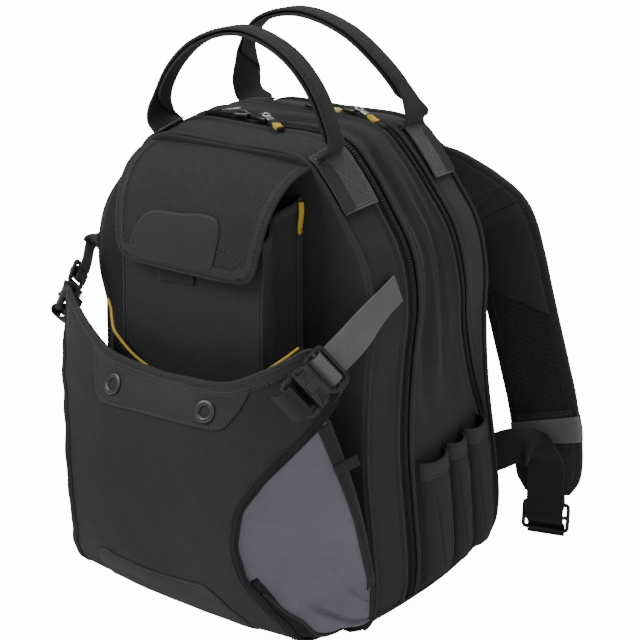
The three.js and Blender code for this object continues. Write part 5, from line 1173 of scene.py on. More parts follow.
def make_gusset(hand, sign):
    """A gusset with its bound free edge, a small tab on that, and the folded binding at its lower corner."""
    grid = gusset_grid(sign)
    leaf = Surface(grid, (0, -100, 100))
    dress(wall(f"gusset_cloth_{hand}", grid, 1.4, GREYCLOTH, (0, -100, 100)), "grey_cloth",
          f"pouch_gusset_{hand}")
    t = np.linspace(0.02, 0.99, 100)
    dress(tape(f"gusset_binding_{hand}", leaf, t, np.full(100, 0.019), 10.5, 1.6, BLACKWEB, lift=0.1),
          "black_webbing")
    dress(cord_along(f"gusset_free_edge_{hand}", leaf.at(t, np.zeros(100), -0.5), 1.9, BLACKWEB),
          "black_webbing")
    stitch_on(leaf, t, np.full(100, 0.034), lift=1.9, colour="dark")
    v = np.linspace(0.02, 0.98, 100)
    dress(tape(f"gusset_seam_{hand}", leaf, np.full(100, 0.982), v, 5.0, 1.3, BLACKWEB, lift=0.1),
          "black_webbing")
    corner = (np.linspace(0.0, 0.3, 50), np.linspace(0.64, 0.985, 50))
    dress(tape(f"gusset_corner_{hand}", leaf, *corner, 6.0, 1.2, LINING, lift=0.3), "black_webbing")
    turned = leaf.at(corner[0] + 0.02, corner[1] - 0.02, 1.0)
    dress(cord_along(f"gusset_turned_edge_{hand}", turned, 1.5, BINDING), "black_webbing")
    dress(tape(f"gusset_front_{hand}", leaf, np.full(50, 0.045), np.linspace(0.55, 0.99, 50), 7.0, 1.2,
            LINING, lift=0.1), "black_webbing")
    root, n = leaf.at(GUSSET_TAB_AT, 0.0), leaf.normal(GUSSET_TAB_AT, 0.02)
    down = unit(leaf.at(GUSSET_TAB_AT + 0.05, 0.0) - leaf.at(GUSSET_TAB_AT - 0.05, 0.0))
    out = unit(np.cross(n, down)) * (1 if np.cross(n, down)[1] > 0 else -1)
    centres = root + out * np.linspace(-9, 11, 20)[:, None] + n * (2.2 + np.linspace(0, 1, 20)[:, None] ** 2)
    dress(sweep(f"gusset_tab_{hand}", centres, np.tile(down, (20, 1)), np.tile(n, (20, 1)), 5.0, 0.9,
            BLACKWEB), "black_webbing")


for hand, sign in HANDS:
    make_gusset(hand, sign)


def make_divider():
    """The inner pocket on the lower front panel, with its scooped rim edged in a thin yellow cord."""
    u = np.linspace(-1, 1, 121)[None]
    up = np.linspace(0, 1, 60)[:, None]
    a = np.abs(u)
    out = ease(up, 0, 0.48) * (POCKET_DEPTH + POCKET_BULGE + 2 * SEAM_GAP + CLOTH - 16 * ease(a, 0.76, 1))
    top = DIVIDER_HIGH - DIVIDER_SCOOP * (1 - a ** 2)
    z = DIVIDER_LOW + (top - DIVIDER_LOW) * up
    x = (DIVIDER_HALF_WIDTH + DIVIDER_FLARE * (1 - up)) * u
    y = ON_FRONT - CLOTH - out - 1.2 * ripple(x, z, 71, 60) * ease(up, 0.3, 0.6)
    grid = np.stack([x, y + 0 * u, z + 0 * u], -1)
    dress(wall("divider_cloth", grid, 2.0, LINING, (0, 0, 150)), "body_cloth", "pouch_divider")
    dress(cord_along("divider_edge", grid[-1] + np.array([0, 0.8, 0.6]), 1.25, YELLOW, corners=8),
          "yellow_tape")


make_divider()


def make_pocket():
    """The box pocket with corner piping, seam tapes, the loop under the flap and the side label."""
    dress(wall("pocket_cloth", pocket.grid, 2.2, CANVAS, (0, -110, 250)), "body_cloth", "box_pocket")
    low = pocket.grid[0]
    floor_back = low.copy()
    floor_back[:, 1] = ON_FRONT
    k = np.linspace(0, 1, 16)[:, None, None]
    under = low[None] * (1 - k) + floor_back[None] * k
    dress(wall("pocket_floor", under, 2.0, CANVAS, (0, -110, 250)), "body_cloth")
    for name, u in (("left", 0.183), ("right", 0.817)):
        v = np.linspace(0.0, 1.0, 90)
        dress(cord_along(f"pocket_piping_{name}", pocket.at(np.full(90, u), v, 0.3), 1.5, BINDING,
                hint=(1, 0, 0)), "body_cloth")
        stitch_on(pocket, np.full(90, u + (0.02 if u < 0.5 else -0.02)), v, lift=0.3)
    for name, u in (("left", 0.014), ("right", 0.986)):
        path = (np.full(90, u), np.linspace(0.02, 0.99, 90))
        dress(tape(f"pocket_seam_{name}", pocket, *path, 6.0, 1.2, BINDING), "body_cloth")
        stitch_on(pocket, *path, side=1.8 if u < 0.5 else -1.8, lift=1.3)
    rim = (np.linspace(0.01, 0.99, 160), np.full(160, 0.985))
    dress(tape("pocket_rim", pocket, *rim, 9.0, 0.9, BINDING), "body_cloth")
    u, v = np.linspace(0.355, 0.52, 30), np.linspace(0.787, 0.8, 30)
    dress(tape("flap_loop_webbing", pocket, u, v, 12.0, 1.7, BLACKWEB, lift=0.4), "black_webbing",
          "flap_loop")
    for end in (0.365, 0.51):
        bartack(pocket, end, 0.79, 3.3, 6, (1, 0), "dark")
    x, y, z = POCKET_HALF_WIDTH + 0.9, ON_FRONT, POCKET_TOP + SIDE_RISE - 17
    t = np.linspace(0, 1, 26)
    centres = np.stack([x + 1.2 * np.sin(t * 5), y - 4.0 - 1.0 * np.sin(t * 4), z + 13 - 26 * t], -1)
    width, thick = across_axes(unit(np.gradient(centres, axis=0)), (0, 1, 0))
    dress(sweep("side_tab", centres, width, thick, 2.9, 0.7, YELLOW), "yellow_tape", "side_label")


make_pocket()


def make_flap():
    """The flap, bound on three sides, with a stitched patch on its drop."""
    dress(wall("flap_cloth", flap.grid, CLOTH, CANVAS, (0, -100, 300)), "body_cloth", "flap")
    steps = np.linspace(0, 1, 120)
    u = np.concatenate([np.zeros(120), steps[1:], np.ones(119)])
    v = np.concatenate([steps, np.ones(119), steps[::-1][1:]])
    u, v = even(u, v, flap, 2.5)
    dress(cord_along("flap_edge", flap.at(u, v) - flap.normal(u, v) * 1.2, 1.75, BINDING, corners=12),
          "body_cloth")
    inset = flap.beside(u, v, 4.3)
    keep = inset[1] > 0.012
    inset = (np.clip(inset[0][keep], 0.002, 0.998), np.clip(inset[1][keep], 0, 0.998))
    dress(tape("flap_binding", flap, *inset, 8.0, 0.9, BINDING), "body_cloth")
    for distance, colour in ((2.2, "dark"), (9.4, "light")):
        a, b = flap.beside(u, v, distance)
        same_way = (np.gradient(flap.at(a, b), axis=0) * np.gradient(flap.at(u, v), axis=0)).sum(-1) > 0.5
        keep = (b > 0.03) & (a > 0) & (a < 1) & same_way
        stitch(flap.at(a[keep], b[keep], 0.95 if distance < 5 else 0.3), flap.normal(a[keep], b[keep]),
               colour)
    top = [(0.085, 0.83), (0.13, 0.68), (0.185, 0.565), (0.26, 0.508), (0.45, 0.49), (0.64, 0.465),
            (0.71, 0.482), (0.742, 0.55), (0.74, 0.68), (0.73, 0.83)]
    low = [(0.1, 0.86), (0.3, 0.86), (0.5, 0.86), (0.72, 0.86)]
    patch = wall("flap_patch_cloth", between(flap, top, low, 20, 110, 1.0), 0.9, COATED, (0, -100, 300))
    dress(patch, "patch_cloth", "flap_patch")
    line = Line([(a, b, 0) for a, b in top]).at(np.linspace(0, 1, 150))
    inside = flap.beside(*even(line[:, 0], line[:, 1], flap), -2.0)
    stitch(flap.at(*inside, 1.15), flap.normal(*inside))


make_flap()


def fold_section(fold, width, thick, count=40):
    """A webbing's section, flat at fold 0. A fold line moves in from one edge and lies on the middle at 1."""
    q = np.linspace(-1, 1, count)
    line = 1.25 * (1 - fold)
    heading = np.pi * 0.97 * ease(q, line - 0.15, line + 0.15)
    step = np.stack([np.cos(heading), np.sin(heading)], -1) * width / (count - 1)
    middle = np.cumsum(step, axis=0)
    middle -= (middle.min(axis=0) + middle.max(axis=0)) / 2
    normal = np.stack([-np.sin(heading), np.cos(heading)], -1) * thick / 2
    end = unit(step[[0, -1]]) * thick * 0.3 * np.array([[-1], [1]])
    return np.vstack([middle + normal, middle[-1] + end[1] + normal[-1] * 0.6,
            middle[-1] + end[1] - normal[-1] * 0.6, (middle - normal)[::-1],
            middle[0] + end[0] - normal[0] * 0.6, middle[0] + end[0] + normal[0] * 0.6])


def make_handle(side_name, foot, grip, drift, arch, folds):
    """A carry handle: flat webbing sewn on both shoulders, folded lengthways along the grip."""
    top = 0.985 * BODY_HEIGHT
    foot_top, foot_low = share_at_height(top), share_at_height(top - HANDLE_FOOT)
    lift = SEAM_GAP + HANDLE_THICKNESS / 2
    sewn = body_point(np.linspace(foot_low, foot_top, 6), foot, lift)
    free = [np.array([side * out * BODY_HALF_WIDTH + drift * rise, foot + (grip - foot) * lean,
            top + rise * HANDLE_RISE]) for side in (1, -1) for out, rise,
            lean in arch[::side] if side > 0 or out]
    line = Line([*sewn, *free, *(sewn * [-1, 1, 1])[::-1]])
    t = np.linspace(0, 1, 330)
    centres, tangents = line.at(t), line.tangent(t)
    for _ in range(6):
        tangents[1:-1] = unit(tangents[:-2] + tangents[1:-1] * 2 + tangents[2:])
    width, thick = across_axes(tangents, (0, 1, 0))
    a0, a1, b0, b1 = folds
    fold = ease(t, a0, a1) * (1 - ease(t, b0, b1))
    sections = np.stack([fold_section(f, HANDLE_WIDTH, HANDLE_THICKNESS) for f in fold])
    loose = 0.8 * np.sin(t * 61) * ease(fold, 0.05, 0.6) * (1 - ease(fold, 0.7, 1))
    rings = (centres[:, None] + width[:, None] * (sections[..., :1] + loose[:, None, None]) + thick[:, None]
            * sections[..., 1:])
    dress(tube(f"handle_{side_name}_webbing", rings, BLACKWEB, sharp=50), "black_webbing",
          f"handle_{side_name}")
    seam = slice(int(330 * a1), int(330 * b0))
    for corner, out in ((78, -1), (47, 1)):
        at = sections[:, corner]
        edge = centres + width * at[:, :1] + thick * (at[:, 1:] + out * 0.15)
        stitch(edge[seam], (thick * out)[seam], "dark", length=3.2, gap=1.2)
    for hand, sign in HANDS:
        s = np.linspace(foot_low - 0.0012, foot_top + 0.0035, 26)[:, None]
        y = foot + np.linspace(-1, 1, 20)[None] * (HANDLE_WIDTH / 2 + 0.8)
        grid = body_point(s if sign > 0 else 1 - s, y, SEAM_GAP + HANDLE_THICKNESS + 0.9)
        patch = Surface(grid, (0, 0, 200))
        dress(wall(f"handle_{side_name}_foot_{hand}", grid, 1.2, FOOTWEB, (0, 0, 200)), "black_webbing")
        corners = [(0.09, 0.06), (0.91, 0.06), (0.91, 0.94), (0.09, 0.94), (0.09, 0.06), (0.91, 0.94)]
        for a, b in list(zip(corners, corners[1:])) + [((0.91, 0.06), (0.09, 0.94))]:
            u, v = np.linspace(a[0], b[0], 30), np.linspace(a[1], b[1], 30)
            stitch_on(patch, u, v, lift=0.1, length=2.4, gap=0.8, radius=0.36, colour="pale")
        for v in (0.02, 0.985):
            stitch_on(patch, np.linspace(0.06, 0.94, 30), np.full(30, v), lift=0.1, length=1.6, gap=0.3,
                    radius=0.5, colour="pale")


make_handle("front", -0.8 * FRONT_DEPTH, -0.905 * FRONT_DEPTH, 0.083 * HANDLE_RISE,
        [(0.605, 0.15, 0.3), (0.575, 0.34, 0.6), (0.475, 0.62, 0.85), (0.29, 0.87, 1), (0, 1, 1)],
        (0.09, 0.19, 0.76, 0.9))
make_handle("rear", 0.454 * REAR_DEPTH, 0.167 * REAR_DEPTH, -0.125 * HANDLE_RISE,
        [(0.6, 0.14, 0.1), (0.575, 0.34, 0.3), (0.49, 0.6, 0.62), (0.3, 0.88, 0.92), (0, 1, 1)],
        (0.11, 0.23, 0.7, 0.84))


# Shoulder straps: out, back, up, turn, wide and thick as in the source's table
STRAP = np.array([
    (0.42, 0, 0.915, 0, 0.95, 0.4), (0.5, 0, 0.885, 1, 1, 0.6), (0.6, 0.95, 0.85, 3, 1, 0.95),
    (0.69, 1.19, 0.805, 6, 1, 1), (0.77, 1.4, 0.748, 8, 1, 1), (0.835, 1.47, 0.662, 9, 1, 1),
    (0.9, 1.48, 0.576, 10, 1, 1), (0.98, 1.465, 0.49, 10, 1, 1), (1.05, 1.46, 0.412, 10, 1, 1),
    (1.13, 1.43, 0.331, 10, 1, 1), (1.21, 1.37, 0.235, 10, 0.98, 1), (1.24, 1.32, 0.165, 10, 0.9, 0.9),
    (1.25, 1.29, 0.13, 10, 0.62, 0.5)])
strap_z = STRAP[:, 2] * BODY_HEIGHT
strap_y = np.maximum(rear_y(strap_z) + CLOTH + 3.5 * SEAM_GAP + STRAP[:, 5] * STRAP_THICKNESS / 2,
        STRAP[:, 1] * REAR_DEPTH)
strap_line = Line(np.stack([STRAP[:, 0] * BODY_HALF_WIDTH, strap_y, strap_z], -1))


def strap_frame(share):
    """Centre, width direction, thickness direction, half width and half thickness along the right strap."""
    share = np.atleast_1d(share)
    tangent = strap_line.tangent(share)
    turn = np.radians(strap_line.column(share, STRAP[:, 3]))
    width = unit(np.cross(tangent, np.stack([-np.sin(turn), np.cos(turn), 0 * turn], -1)))
    return (strap_line.at(share), width, unit(np.cross(tangent, width)),
            strap_line.column(share, STRAP[:, 4]) * STRAP_WIDTH / 2,
            strap_line.column(share, STRAP[:, 5]) * STRAP_THICKNESS / 2)


at, width, thick, hw, ht = strap_frame(0.5)
FRONT_SIDE = -1.0 if thick[0, 1] > 0 else 1.0  # the strap's thickness direction that faces forward


def strap_skin(side):
    """One face of the pad: crowned across its width, pulled in at its seams, with soft wrinkles."""
    share, q = np.linspace(0, 1, 300), np.linspace(-1, 1, 61)
    at, width, thick, hw, ht = strap_frame(share)
    rise = 0.3 + 0.7 * (1 - np.abs(q) ** 3.2) ** 0.55
    rise = rise[None] * (1 - 0.16 * bell(share, 0.275, 0.01) - 0.16 * bell(share, 0.80, 0.008) - 0.1
            * bell(share, 0.52, 0.006))[:, None]
    soft = 0.5 * ripple(share[:, None] * 420, q[None] * 32, 81, 50) * (1 - q[None] ** 2)
    wrinkle = -1.4 * np.exp(-((share[:, None] - 0.2 - 0.03 * q[None]) / 0.008) ** 2) * (0.5 + 0.5
            * np.sin(q * 3))[None]
    wrinkle -= 1.2 * np.exp(-((share[:, None] - 0.235 + 0.02 * q[None]) / 0.007) ** 2) * (1 - q[None] ** 2)
    out = side * (ht[:, None] * rise) + side * (soft + wrinkle) * np.minimum(1, ht[:, None] / 5)
    return at[:, None] + width[:, None] * (q[None, :, None] * hw[:, None, None]) + thick[:, None] * out[...,
            None]


def mirror(points, sign):
    """Points with x turned over for the left side."""
    return points * np.array([sign, 1, 1])


def make_strap(hand, sign):
    """A padded shoulder strap: its pad, bound edges, shield patch, yoke and lower panels, and keeper."""
    front, rear = mirror(strap_skin(FRONT_SIDE), sign), mirror(strap_skin(-FRONT_SIDE), sign)
    centre = (front + rear) / 2
    ring = np.concatenate([front, rear[:, ::-1]], axis=1)
    pad = tube(f"strap_pad_{hand}", ring, AIRMESH)
    dress(pad, "back_mesh", f"shoulder_strap_{hand}")
    for edge, column in (("outer", 0), ("inner", -1)):
        path = centre[:, column]
        _, width, thick, _, ht = strap_frame(np.linspace(0, 1, 300))
        width, thick = mirror(width, sign), mirror(thick, sign)
        dress(sweep(f"strap_binding_{edge}_{hand}", path[4:], thick[4:], width[4:],
                np.maximum(ht[4:] * 0.42, 1.6), 2.2, BINDING, power=0.6, corners=14), "body_cloth")
    face = Surface(front, centre.mean(axis=(0, 1)))
    if np.sum(face.normals[150, 30] * (front[150, 30] - centre[150, 30])) < 0:
        face.normals = -face.normals
    low = np.array([(0.07, 0.475), (0.25, 0.492), (0.5, 0.517), (0.75, 0.545), (0.93, 0.565)])
    if FRONT_SIDE * sign < 0:
        low[:, 0] = low[::-1, 0]
    top = [(u, 0.278) for u, _ in low]
    panels = [("shield", top, [tuple(p) for p in low], 0.5, COATED), ("yoke",
            [(0.05, 0.05)] + [(0.95, 0.05)], [(0.05, 0.276), (0.95, 0.276)], 0.3, CANVAS),
            ("lower", [(0.06, 0.80), (0.94, 0.80)], [(0.06, 0.985), (0.94, 0.985)], 0.4, CANVAS)]
    for name, a, b, lift, material in panels:
        grid = between(face, a, b, 90, 50, lift)
        normals = face.normal(np.full(grid.shape[:2], 0.5), np.full(grid.shape[:2], 0.5))
        dress(wall(f"strap_{name}_{hand}", grid, 0.8, material, grid.mean(axis=(0, 1)) - normals[0, 0] * 90),
              "patch_cloth" if material is COATED else "body_cloth")
    shield = Line([(u, v, 0) for u, v in [(low[0][0], 0.29)] + [tuple(p) for p in low]
            + [(low[-1][0], 0.29)]])
    path = shield.at(np.linspace(0, 1, 200))
    stitch(face.at(path[:, 0], path[:, 1], 0.7), face.normal(path[:, 0], path[:, 1]), "dark")
    for u in (0.12, 0.88):
        stitch_on(face, np.full(90, u), np.linspace(0.06, 0.98, 90), lift=0.55, colour="dark")
    for u in (0.34, 0.66):
        stitch_on(face, np.full(60, u), np.linspace(0.885, 0.985, 60), lift=0.6)
    stitch_on(face, np.linspace(0.1, 0.9, 40), np.full(40, 0.81), lift=0.6)
    high = KEEPER_SHARE - KEEPER_WIDTH / strap_line.length
    share = np.linspace(high, KEEPER_SHARE, 14)
    at, width, thick, hw, ht = strap_frame(share)
    w, h = flat_ring(72, 0.42)
    rows = []
    for grow in (1.1, 2.3):
        bow = grow + 0.5 * bell(np.linspace(-1, 1, 14), 0, 0.6) - 0.3
        rows.append(at[:, None] + width[:, None] * (w[None] * (hw + bow)[:, None])[..., None]
                + thick[:, None] * (h[None] * (ht + bow)[:, None])[..., None])
    loop = np.concatenate([rows[0], rows[1][::-1]])
    dress(tube(f"strap_keeper_webbing_{hand}", mirror(loop, sign), GREYWEB, closed=True, sharp=40),
            "grey_webbing", f"strap_keeper_{hand}")


for hand, sign in HANDS:
    make_strap(hand, sign)


# Frames of bars, buckles and webbing
def frame_at(at, along, outward):
    """Rows x, y and z of a local frame: length along y, face along z."""
    y = unit(np.asarray(along, float))
    z = unit(np.asarray(outward, float) - y * np.dot(outward, y))
    return np.asarray(at, float), np.stack([np.cross(y, z), y, z])


def to_world(frame, points, sign=1):
    """Points of a local frame in the part's frame, mirrored for the left side."""
    at, axes = frame
    return mirror(at + np.asarray(points, float) @ axes, sign)


def round_bar(name, path, radius, material, frame, sign, closed=False, flat=1.0):
    """A moulded bar of round section along a path in a frame, flattened across its face."""
    path = np.asarray(path, float)
    dense = np.concatenate([path[:1]] + [np.linspace(a, b, 7)[1:] for a, b in zip(path, path[1:])])
    if closed:
        dense = dense[:-1]
        tangents = unit(np.roll(dense, -1, 0) - np.roll(dense, 1, 0))
    else:
        tangents = unit(np.gradient(dense, axis=0))
    width, thick = across_axes(tangents, (0, 0, 1))
    a = 2 * np.pi * np.arange(14) / 14
    c, s = np.sign(np.cos(a)) * np.abs(np.cos(a)) ** 0.6, np.sign(np.sin(a)) * np.abs(np.sin(a)) ** 0.6
    rings = dense[:, None] + radius * (width[:, None] * c[None, :, None] * flat + thick[:, None]
            * s[None, :, None])
    return tube(name, to_world(frame, rings, sign), material, closed=closed)


def ladder_parts(name, width, length, thickness, bar, frame, sign, shift=0.0):
    """A rounded frame with a bar across its middle: four edges as one loop and a straight bar."""
    w, l, r = width / 2 - bar / 2, length / 2 - bar / 2, 3.0
    corner = lambda sx, sy, a0: [(sx * (w - r) + r * np.cos(a), sy * (l - r) + r * np.sin(a) + shift, 0)
            for a in np.linspace(a0, a0 + np.pi / 2, 5)]
    loop = (corner(1, 1, 0) + corner(-1, 1, np.pi / 2) + corner(-1, -1, np.pi) + corner(1, -1, 1.5 * np.pi))
    loop = loop + loop[:1]
    parts = [round_bar(name, loop, bar / 2, PLASTIC, frame, sign, closed=True, flat=thickness / bar),
            round_bar(name + "_bar", [(-w, shift, 0), (w, shift, 0)], bar / 2, PLASTIC, frame, sign,
            flat=thickness / bar)]
    ribs = [round_bar(f"{name}_rib_{k}", [(-w + 2, y + shift, thickness * 0.5),
            (w - 2, y + shift, thickness * 0.5)], 0.5, PLASTIC, frame, sign) for k,
            y in enumerate((-0.8, 0.8))]
    return join(name, parts + ribs)


def webbing(name, points, axes, width, material, sign=1, thick=WEBBING_THICKNESS, stations=150, soften=0):
    """Webbing swept along a list of points with a width direction at each."""
    line = Line(points)
    t = np.linspace(0, 1, stations)
    centres = line.at(t)
    hint = np.stack([line.column(t, np.array(axes, float)[:, k]) for k in range(3)], -1)
    for _ in range(soften):
        near = slice(4, int(stations * 0.62))
        for values in (centres, hint):
            values[near] = (values[3:near.stop - 1] + 2 * values[near] + values[5:near.stop + 1]) / 4
    across, out = across_axes(unit(np.gradient(centres, axis=0)), hint)
    return sweep(name, mirror(centres, sign), mirror(across, sign), mirror(out, sign), width / 2, thick / 2,
            material, power=0.3, corners=24), (mirror(centres, sign), mirror(across, sign), mirror(out, sign))


def passing(thickness):
    """How far webbing lies from the middle of a bar or slab that it passes."""
    return thickness / 2 + SEAM_GAP + WEBBING_THICKNESS / 2


def make_strap_end(hand, sign):
    """The ladder lock under the pad, its tab and the webbing from the body's lower corner through it."""
    at, _, thick, _, _ = (value[0] for value in strap_frame(1.0))
    down, outward = strap_line.tangent(np.array([1.0]))[0], thick * FRONT_SIDE
    slot = (LOCK_LENGTH - 3 * LADDER_BAR) / 2
    rise = passing(LADDER_THICKNESS)
    frame = frame_at(at + down * (TAB_LENGTH + LOCK_LENGTH / 2), down, outward)
    lock = ladder_parts(f"ladder_lock_frame_{hand}", LOCK_WIDTH, LOCK_LENGTH, LADDER_THICKNESS, LADDER_BAR,
            frame, sign)
    dress(lock, "black_plastic", f"ladder_lock_{hand}")
    local = lambda along, out: to_world(frame, (0, along, out))
    side = frame[1][0]
    top = -LOCK_LENGTH / 2
    tab = [local(top - TAB_LENGTH + SEAM_GAP, 0), local(top - TAB_LENGTH / 2, -rise / 2),
            local(top + 1, -rise), local(top + LADDER_BAR, -rise), local(top + LADDER_BAR + 2.2, 0),
            local(top + LADDER_BAR, rise), local(top + 1, rise), local(top - 6, rise)]
    piece, _ = webbing(f"strap_tab_webbing_{hand}", tab, [side] * len(tab), TAB_WIDTH, BLACKWEB, sign)
    dress(piece, "black_webbing", f"strap_tab_{hand}")
    seat = float(rear_y(LOWER_WEBBING_HEIGHT)) + CLOTH + 2 * SEAM_GAP + WEBBING_THICKNESS / 2
    start = np.array([BACK_PAD_HALF_WIDTH + 3, seat, LOWER_WEBBING_HEIGHT])
    past, second = rise + WEBBING_THICKNESS + SEAM_GAP, LADDER_BAR / 2 + slot / 2
    route = [(start, (0, 0, 1)), (start + [16, 0.5, 3], (0, 0, 1)), (start + [33, 4, 14],
            (-0.35, -0.2, 0.9)), (start + [48, 7, 18], (-0.75, -0.25, 0.55))]
    for along, out in ((top - 42, past + 9), (top - 22, past + 5), (top - 4, past), (0, past),
            (second - 1.4, rise), (second, 0), (second + 1.4, -rise), (LOCK_LENGTH / 2 + 4, -rise)):
        route.append((local(along, out), -side))
    points, axes = zip(*route)
    piece, _ = webbing(f"lower_webbing_belt_{hand}", points, axes, LOWER_WEBBING_WIDTH, BLACKWEB, sign,
            soften=60)
    dress(piece, "black_webbing", f"lower_webbing_{hand}")


for hand, sign in HANDS:
    make_strap_end(hand, sign)


def socket_outline(half, length):
    """The buckle's socket seen from its face, waisted where the prongs show, as a closed loop of points."""
    edge = [(3, 0), (4.6, 0.1), (5, 0.2), (5, 0.36), (4.2, 0.44), (0.8, 0.5), (0, 0.58), (0, 0.86), (1, 0.95),
            (3, 1)]
    right = [(half - inset, along * length) for inset, along in edge]
    return np.array(right + [(-x, y) for x, y in right[::-1]])


def moulded(name, outline, depth, frame, sign, bevel=1.1):
    """A moulded slab: an outline given depth about its middle, with its edges rounded by inset rings."""
    o = np.asarray(outline, float)
    centre = o.mean(axis=0)
    rings = []
    for inset, z in ((1.0, -0.5), (0.35, -0.43), (0, -0.3), (0, 0.3), (0.35, 0.43), (1.0, 0.5)):
        p = centre + (o - centre) * (1 - inset * bevel / np.linalg.norm(o - centre, axis=1, keepdims=True))
        rings.append(np.column_stack([p, np.full(len(p), z * depth)]))
    return tube(name, to_world(frame, np.array(rings), sign), PLASTIC, sharp=50)


def make_compression(hand, sign, out, ahead, up, drop, along, face):
    """The compression strap: sewn end, ladder, socket with its two prongs, and the loop on the wing."""
    at = np.array([out * POUCH_HALF_WIDTH, ON_FRONT - ahead * POUCH_REACH, up * POUCH_HEIGHT])
    frame = frame_at(at, along, face)
    local = lambda y, z: to_world(frame, (0, y, z))
    side = frame[1][0]
    plug = ladder_parts(f"buckle_ladder_{hand}", BUCKLE_WIDTH, BUCKLE_LADDER_LENGTH, LADDER_THICKNESS,
            LADDER_BAR, frame, sign, shift=-BUCKLE_LADDER_LENGTH / 2)
    dress(plug, "black_plastic", f"buckle_plug_{hand}")
    half, length = BUCKLE_WIDTH / 2, BUCKLE_SOCKET_LENGTH
    slot_from, slot_to = length - LADDER_BAR - 6, length - LADDER_BAR
    outline = socket_outline(half, length - 1)
    body = moulded(f"buckle_body_{hand}", outline[(outline[:, 1] < slot_from + 0.5)], BUCKLE_THICKNESS,
            frame, sign)
    rail = half - 2.2
    u_frame = round_bar(f"buckle_frame_{hand}", [(rail, slot_from - 6, 0), (rail, slot_to - 1, 0),
            (rail - 2, slot_to + 1.5, 0), (-rail + 2, slot_to + 1.5, 0), (-rail, slot_to - 1, 0),
            (-rail, slot_from - 6, 0)], 2.0, PLASTIC, frame, sign, flat=1.6)
    prongs = [moulded(f"buckle_prong_{hand}_{k}", [(s * (half - 6.4), 1.5), (s * (half - 2.6), 2.5),
            (s * (half - 0.4), 7), (s * (half - 0.6), 11.2), (s * (half - 3.2), 11.8),
            (s * (half - 6.4), 9)], 5.4, frame, sign, bevel=0.6) for k, s in enumerate((1, -1))]
    spine = moulded(f"buckle_spine_{hand}", [(5.2, 1.6), (4.2, 14.0), (-4.2, 14.0), (-5.2, 1.6)],
            BUCKLE_THICKNESS + 1.4, frame, sign, bevel=0.9)
    socket = join(f"buckle_socket_body_{hand}", [body, u_frame, spine] + prongs)
    dress(socket, "black_plastic", f"buckle_socket_{hand}")

    rise = passing(LADDER_THICKNESS)
    lift = SEAM_GAP + WEBBING_THICKNESS / 2
    ladder_top, slot = -BUCKLE_LADDER_LENGTH, (BUCKLE_LADDER_LENGTH - 3 * LADDER_BAR) / 2
    first, second = ladder_top + LADDER_BAR + slot / 2, -LADDER_BAR - slot / 2
    points, axes = [], []
    for below, toward, gap, axis in ((0, 0, 0.5, (0.12, 0.35, -0.93)), (5, 0.5, 0.8, (0.12, 0.35, -0.93)),
            (10, 1, 2.2, (0.2, 0.33, -0.9))):
        y = STRAP_SEAM_DEPTH + (FRONT_Y - STRAP_SEAM_DEPTH) * toward
        z = STRAP_SEAM_HEIGHT - below
        full = LEFT_FULLNESS * ease(z, 215, 285) * 0.9 if sign < 0 else 0.0
        points.append(body_point(share_at_height(z), y, lift + gap + full))
        axes.append(axis)
    turned = side * (-1 if side[2] > 0 else 1)
    for y, z in ((ladder_top - 20, -1), (ladder_top - 3, -rise), (first - 1.4, -rise), (first, 0),
            (first + 1.4, rise), (second - 1.4, rise), (second, 0), (second + 1, -rise),
            (second - 8, -rise - WEBBING_THICKNESS / 2)):
        points.append(local(y, z))
        axes.append(turned)
    piece, path = webbing(f"compression_webbing_{hand}", points, axes, COMPRESSION_WIDTH, GREYWEB, sign,
            stations=220)
    dress(piece, "grey_webbing", f"compression_strap_{hand}")
    centres, across, outw = path
    k = slice(2, 20)
    face_side = 1 if np.dot(outw[5], centres[5] - np.array([0, centres[5][1], centres[5][2]])) > 0 else -1
    for offset in (-9, 0, 9):
        stitch((centres + across * offset + outw * face_side * 1.05)[k], (outw * face_side)[k], "pale",
               length=2.2, gap=0.7)
    thickest, middle = passing(BUCKLE_THICKNESS), SEAM_GAP + (slot_from + slot_to) / 2
    loop = [local(middle - 12, -thickest - 2), local(middle - 3, -thickest - 0.5), local(middle, 0),
            local(middle + 2.5, thickest), local(length + 1.5, thickest), local(length + 5, 0),
            local(length + 3, -thickest - 3 - drop * BUCKLE_THICKNESS)]
    piece, _ = webbing(f"wing_loop_webbing_{hand}", loop, [side] * len(loop), COMPRESSION_WIDTH, BLACKWEB,
            sign)
    dress(piece, "black_webbing", f"wing_loop_{hand}")


make_compression("right", 1, 0.94, 0.635, 0.94, 1, (-0.19, -0.84, -0.51), (0.72, -0.5, 0.4))
make_compression("left", -1, 1.08, 0.2, 0.945, 0, (-0.02, -0.6, -0.8), (0.9, -0.33, 0.15))


# Side sleeves: rows of from, to, rise and bulge, as in the source's table
SLEEVES = [(0.02, 0.37, 0.95, 12), (0.39, 0.64, 0.98, 12), (0.66, 0.98, 1.0, 15)]


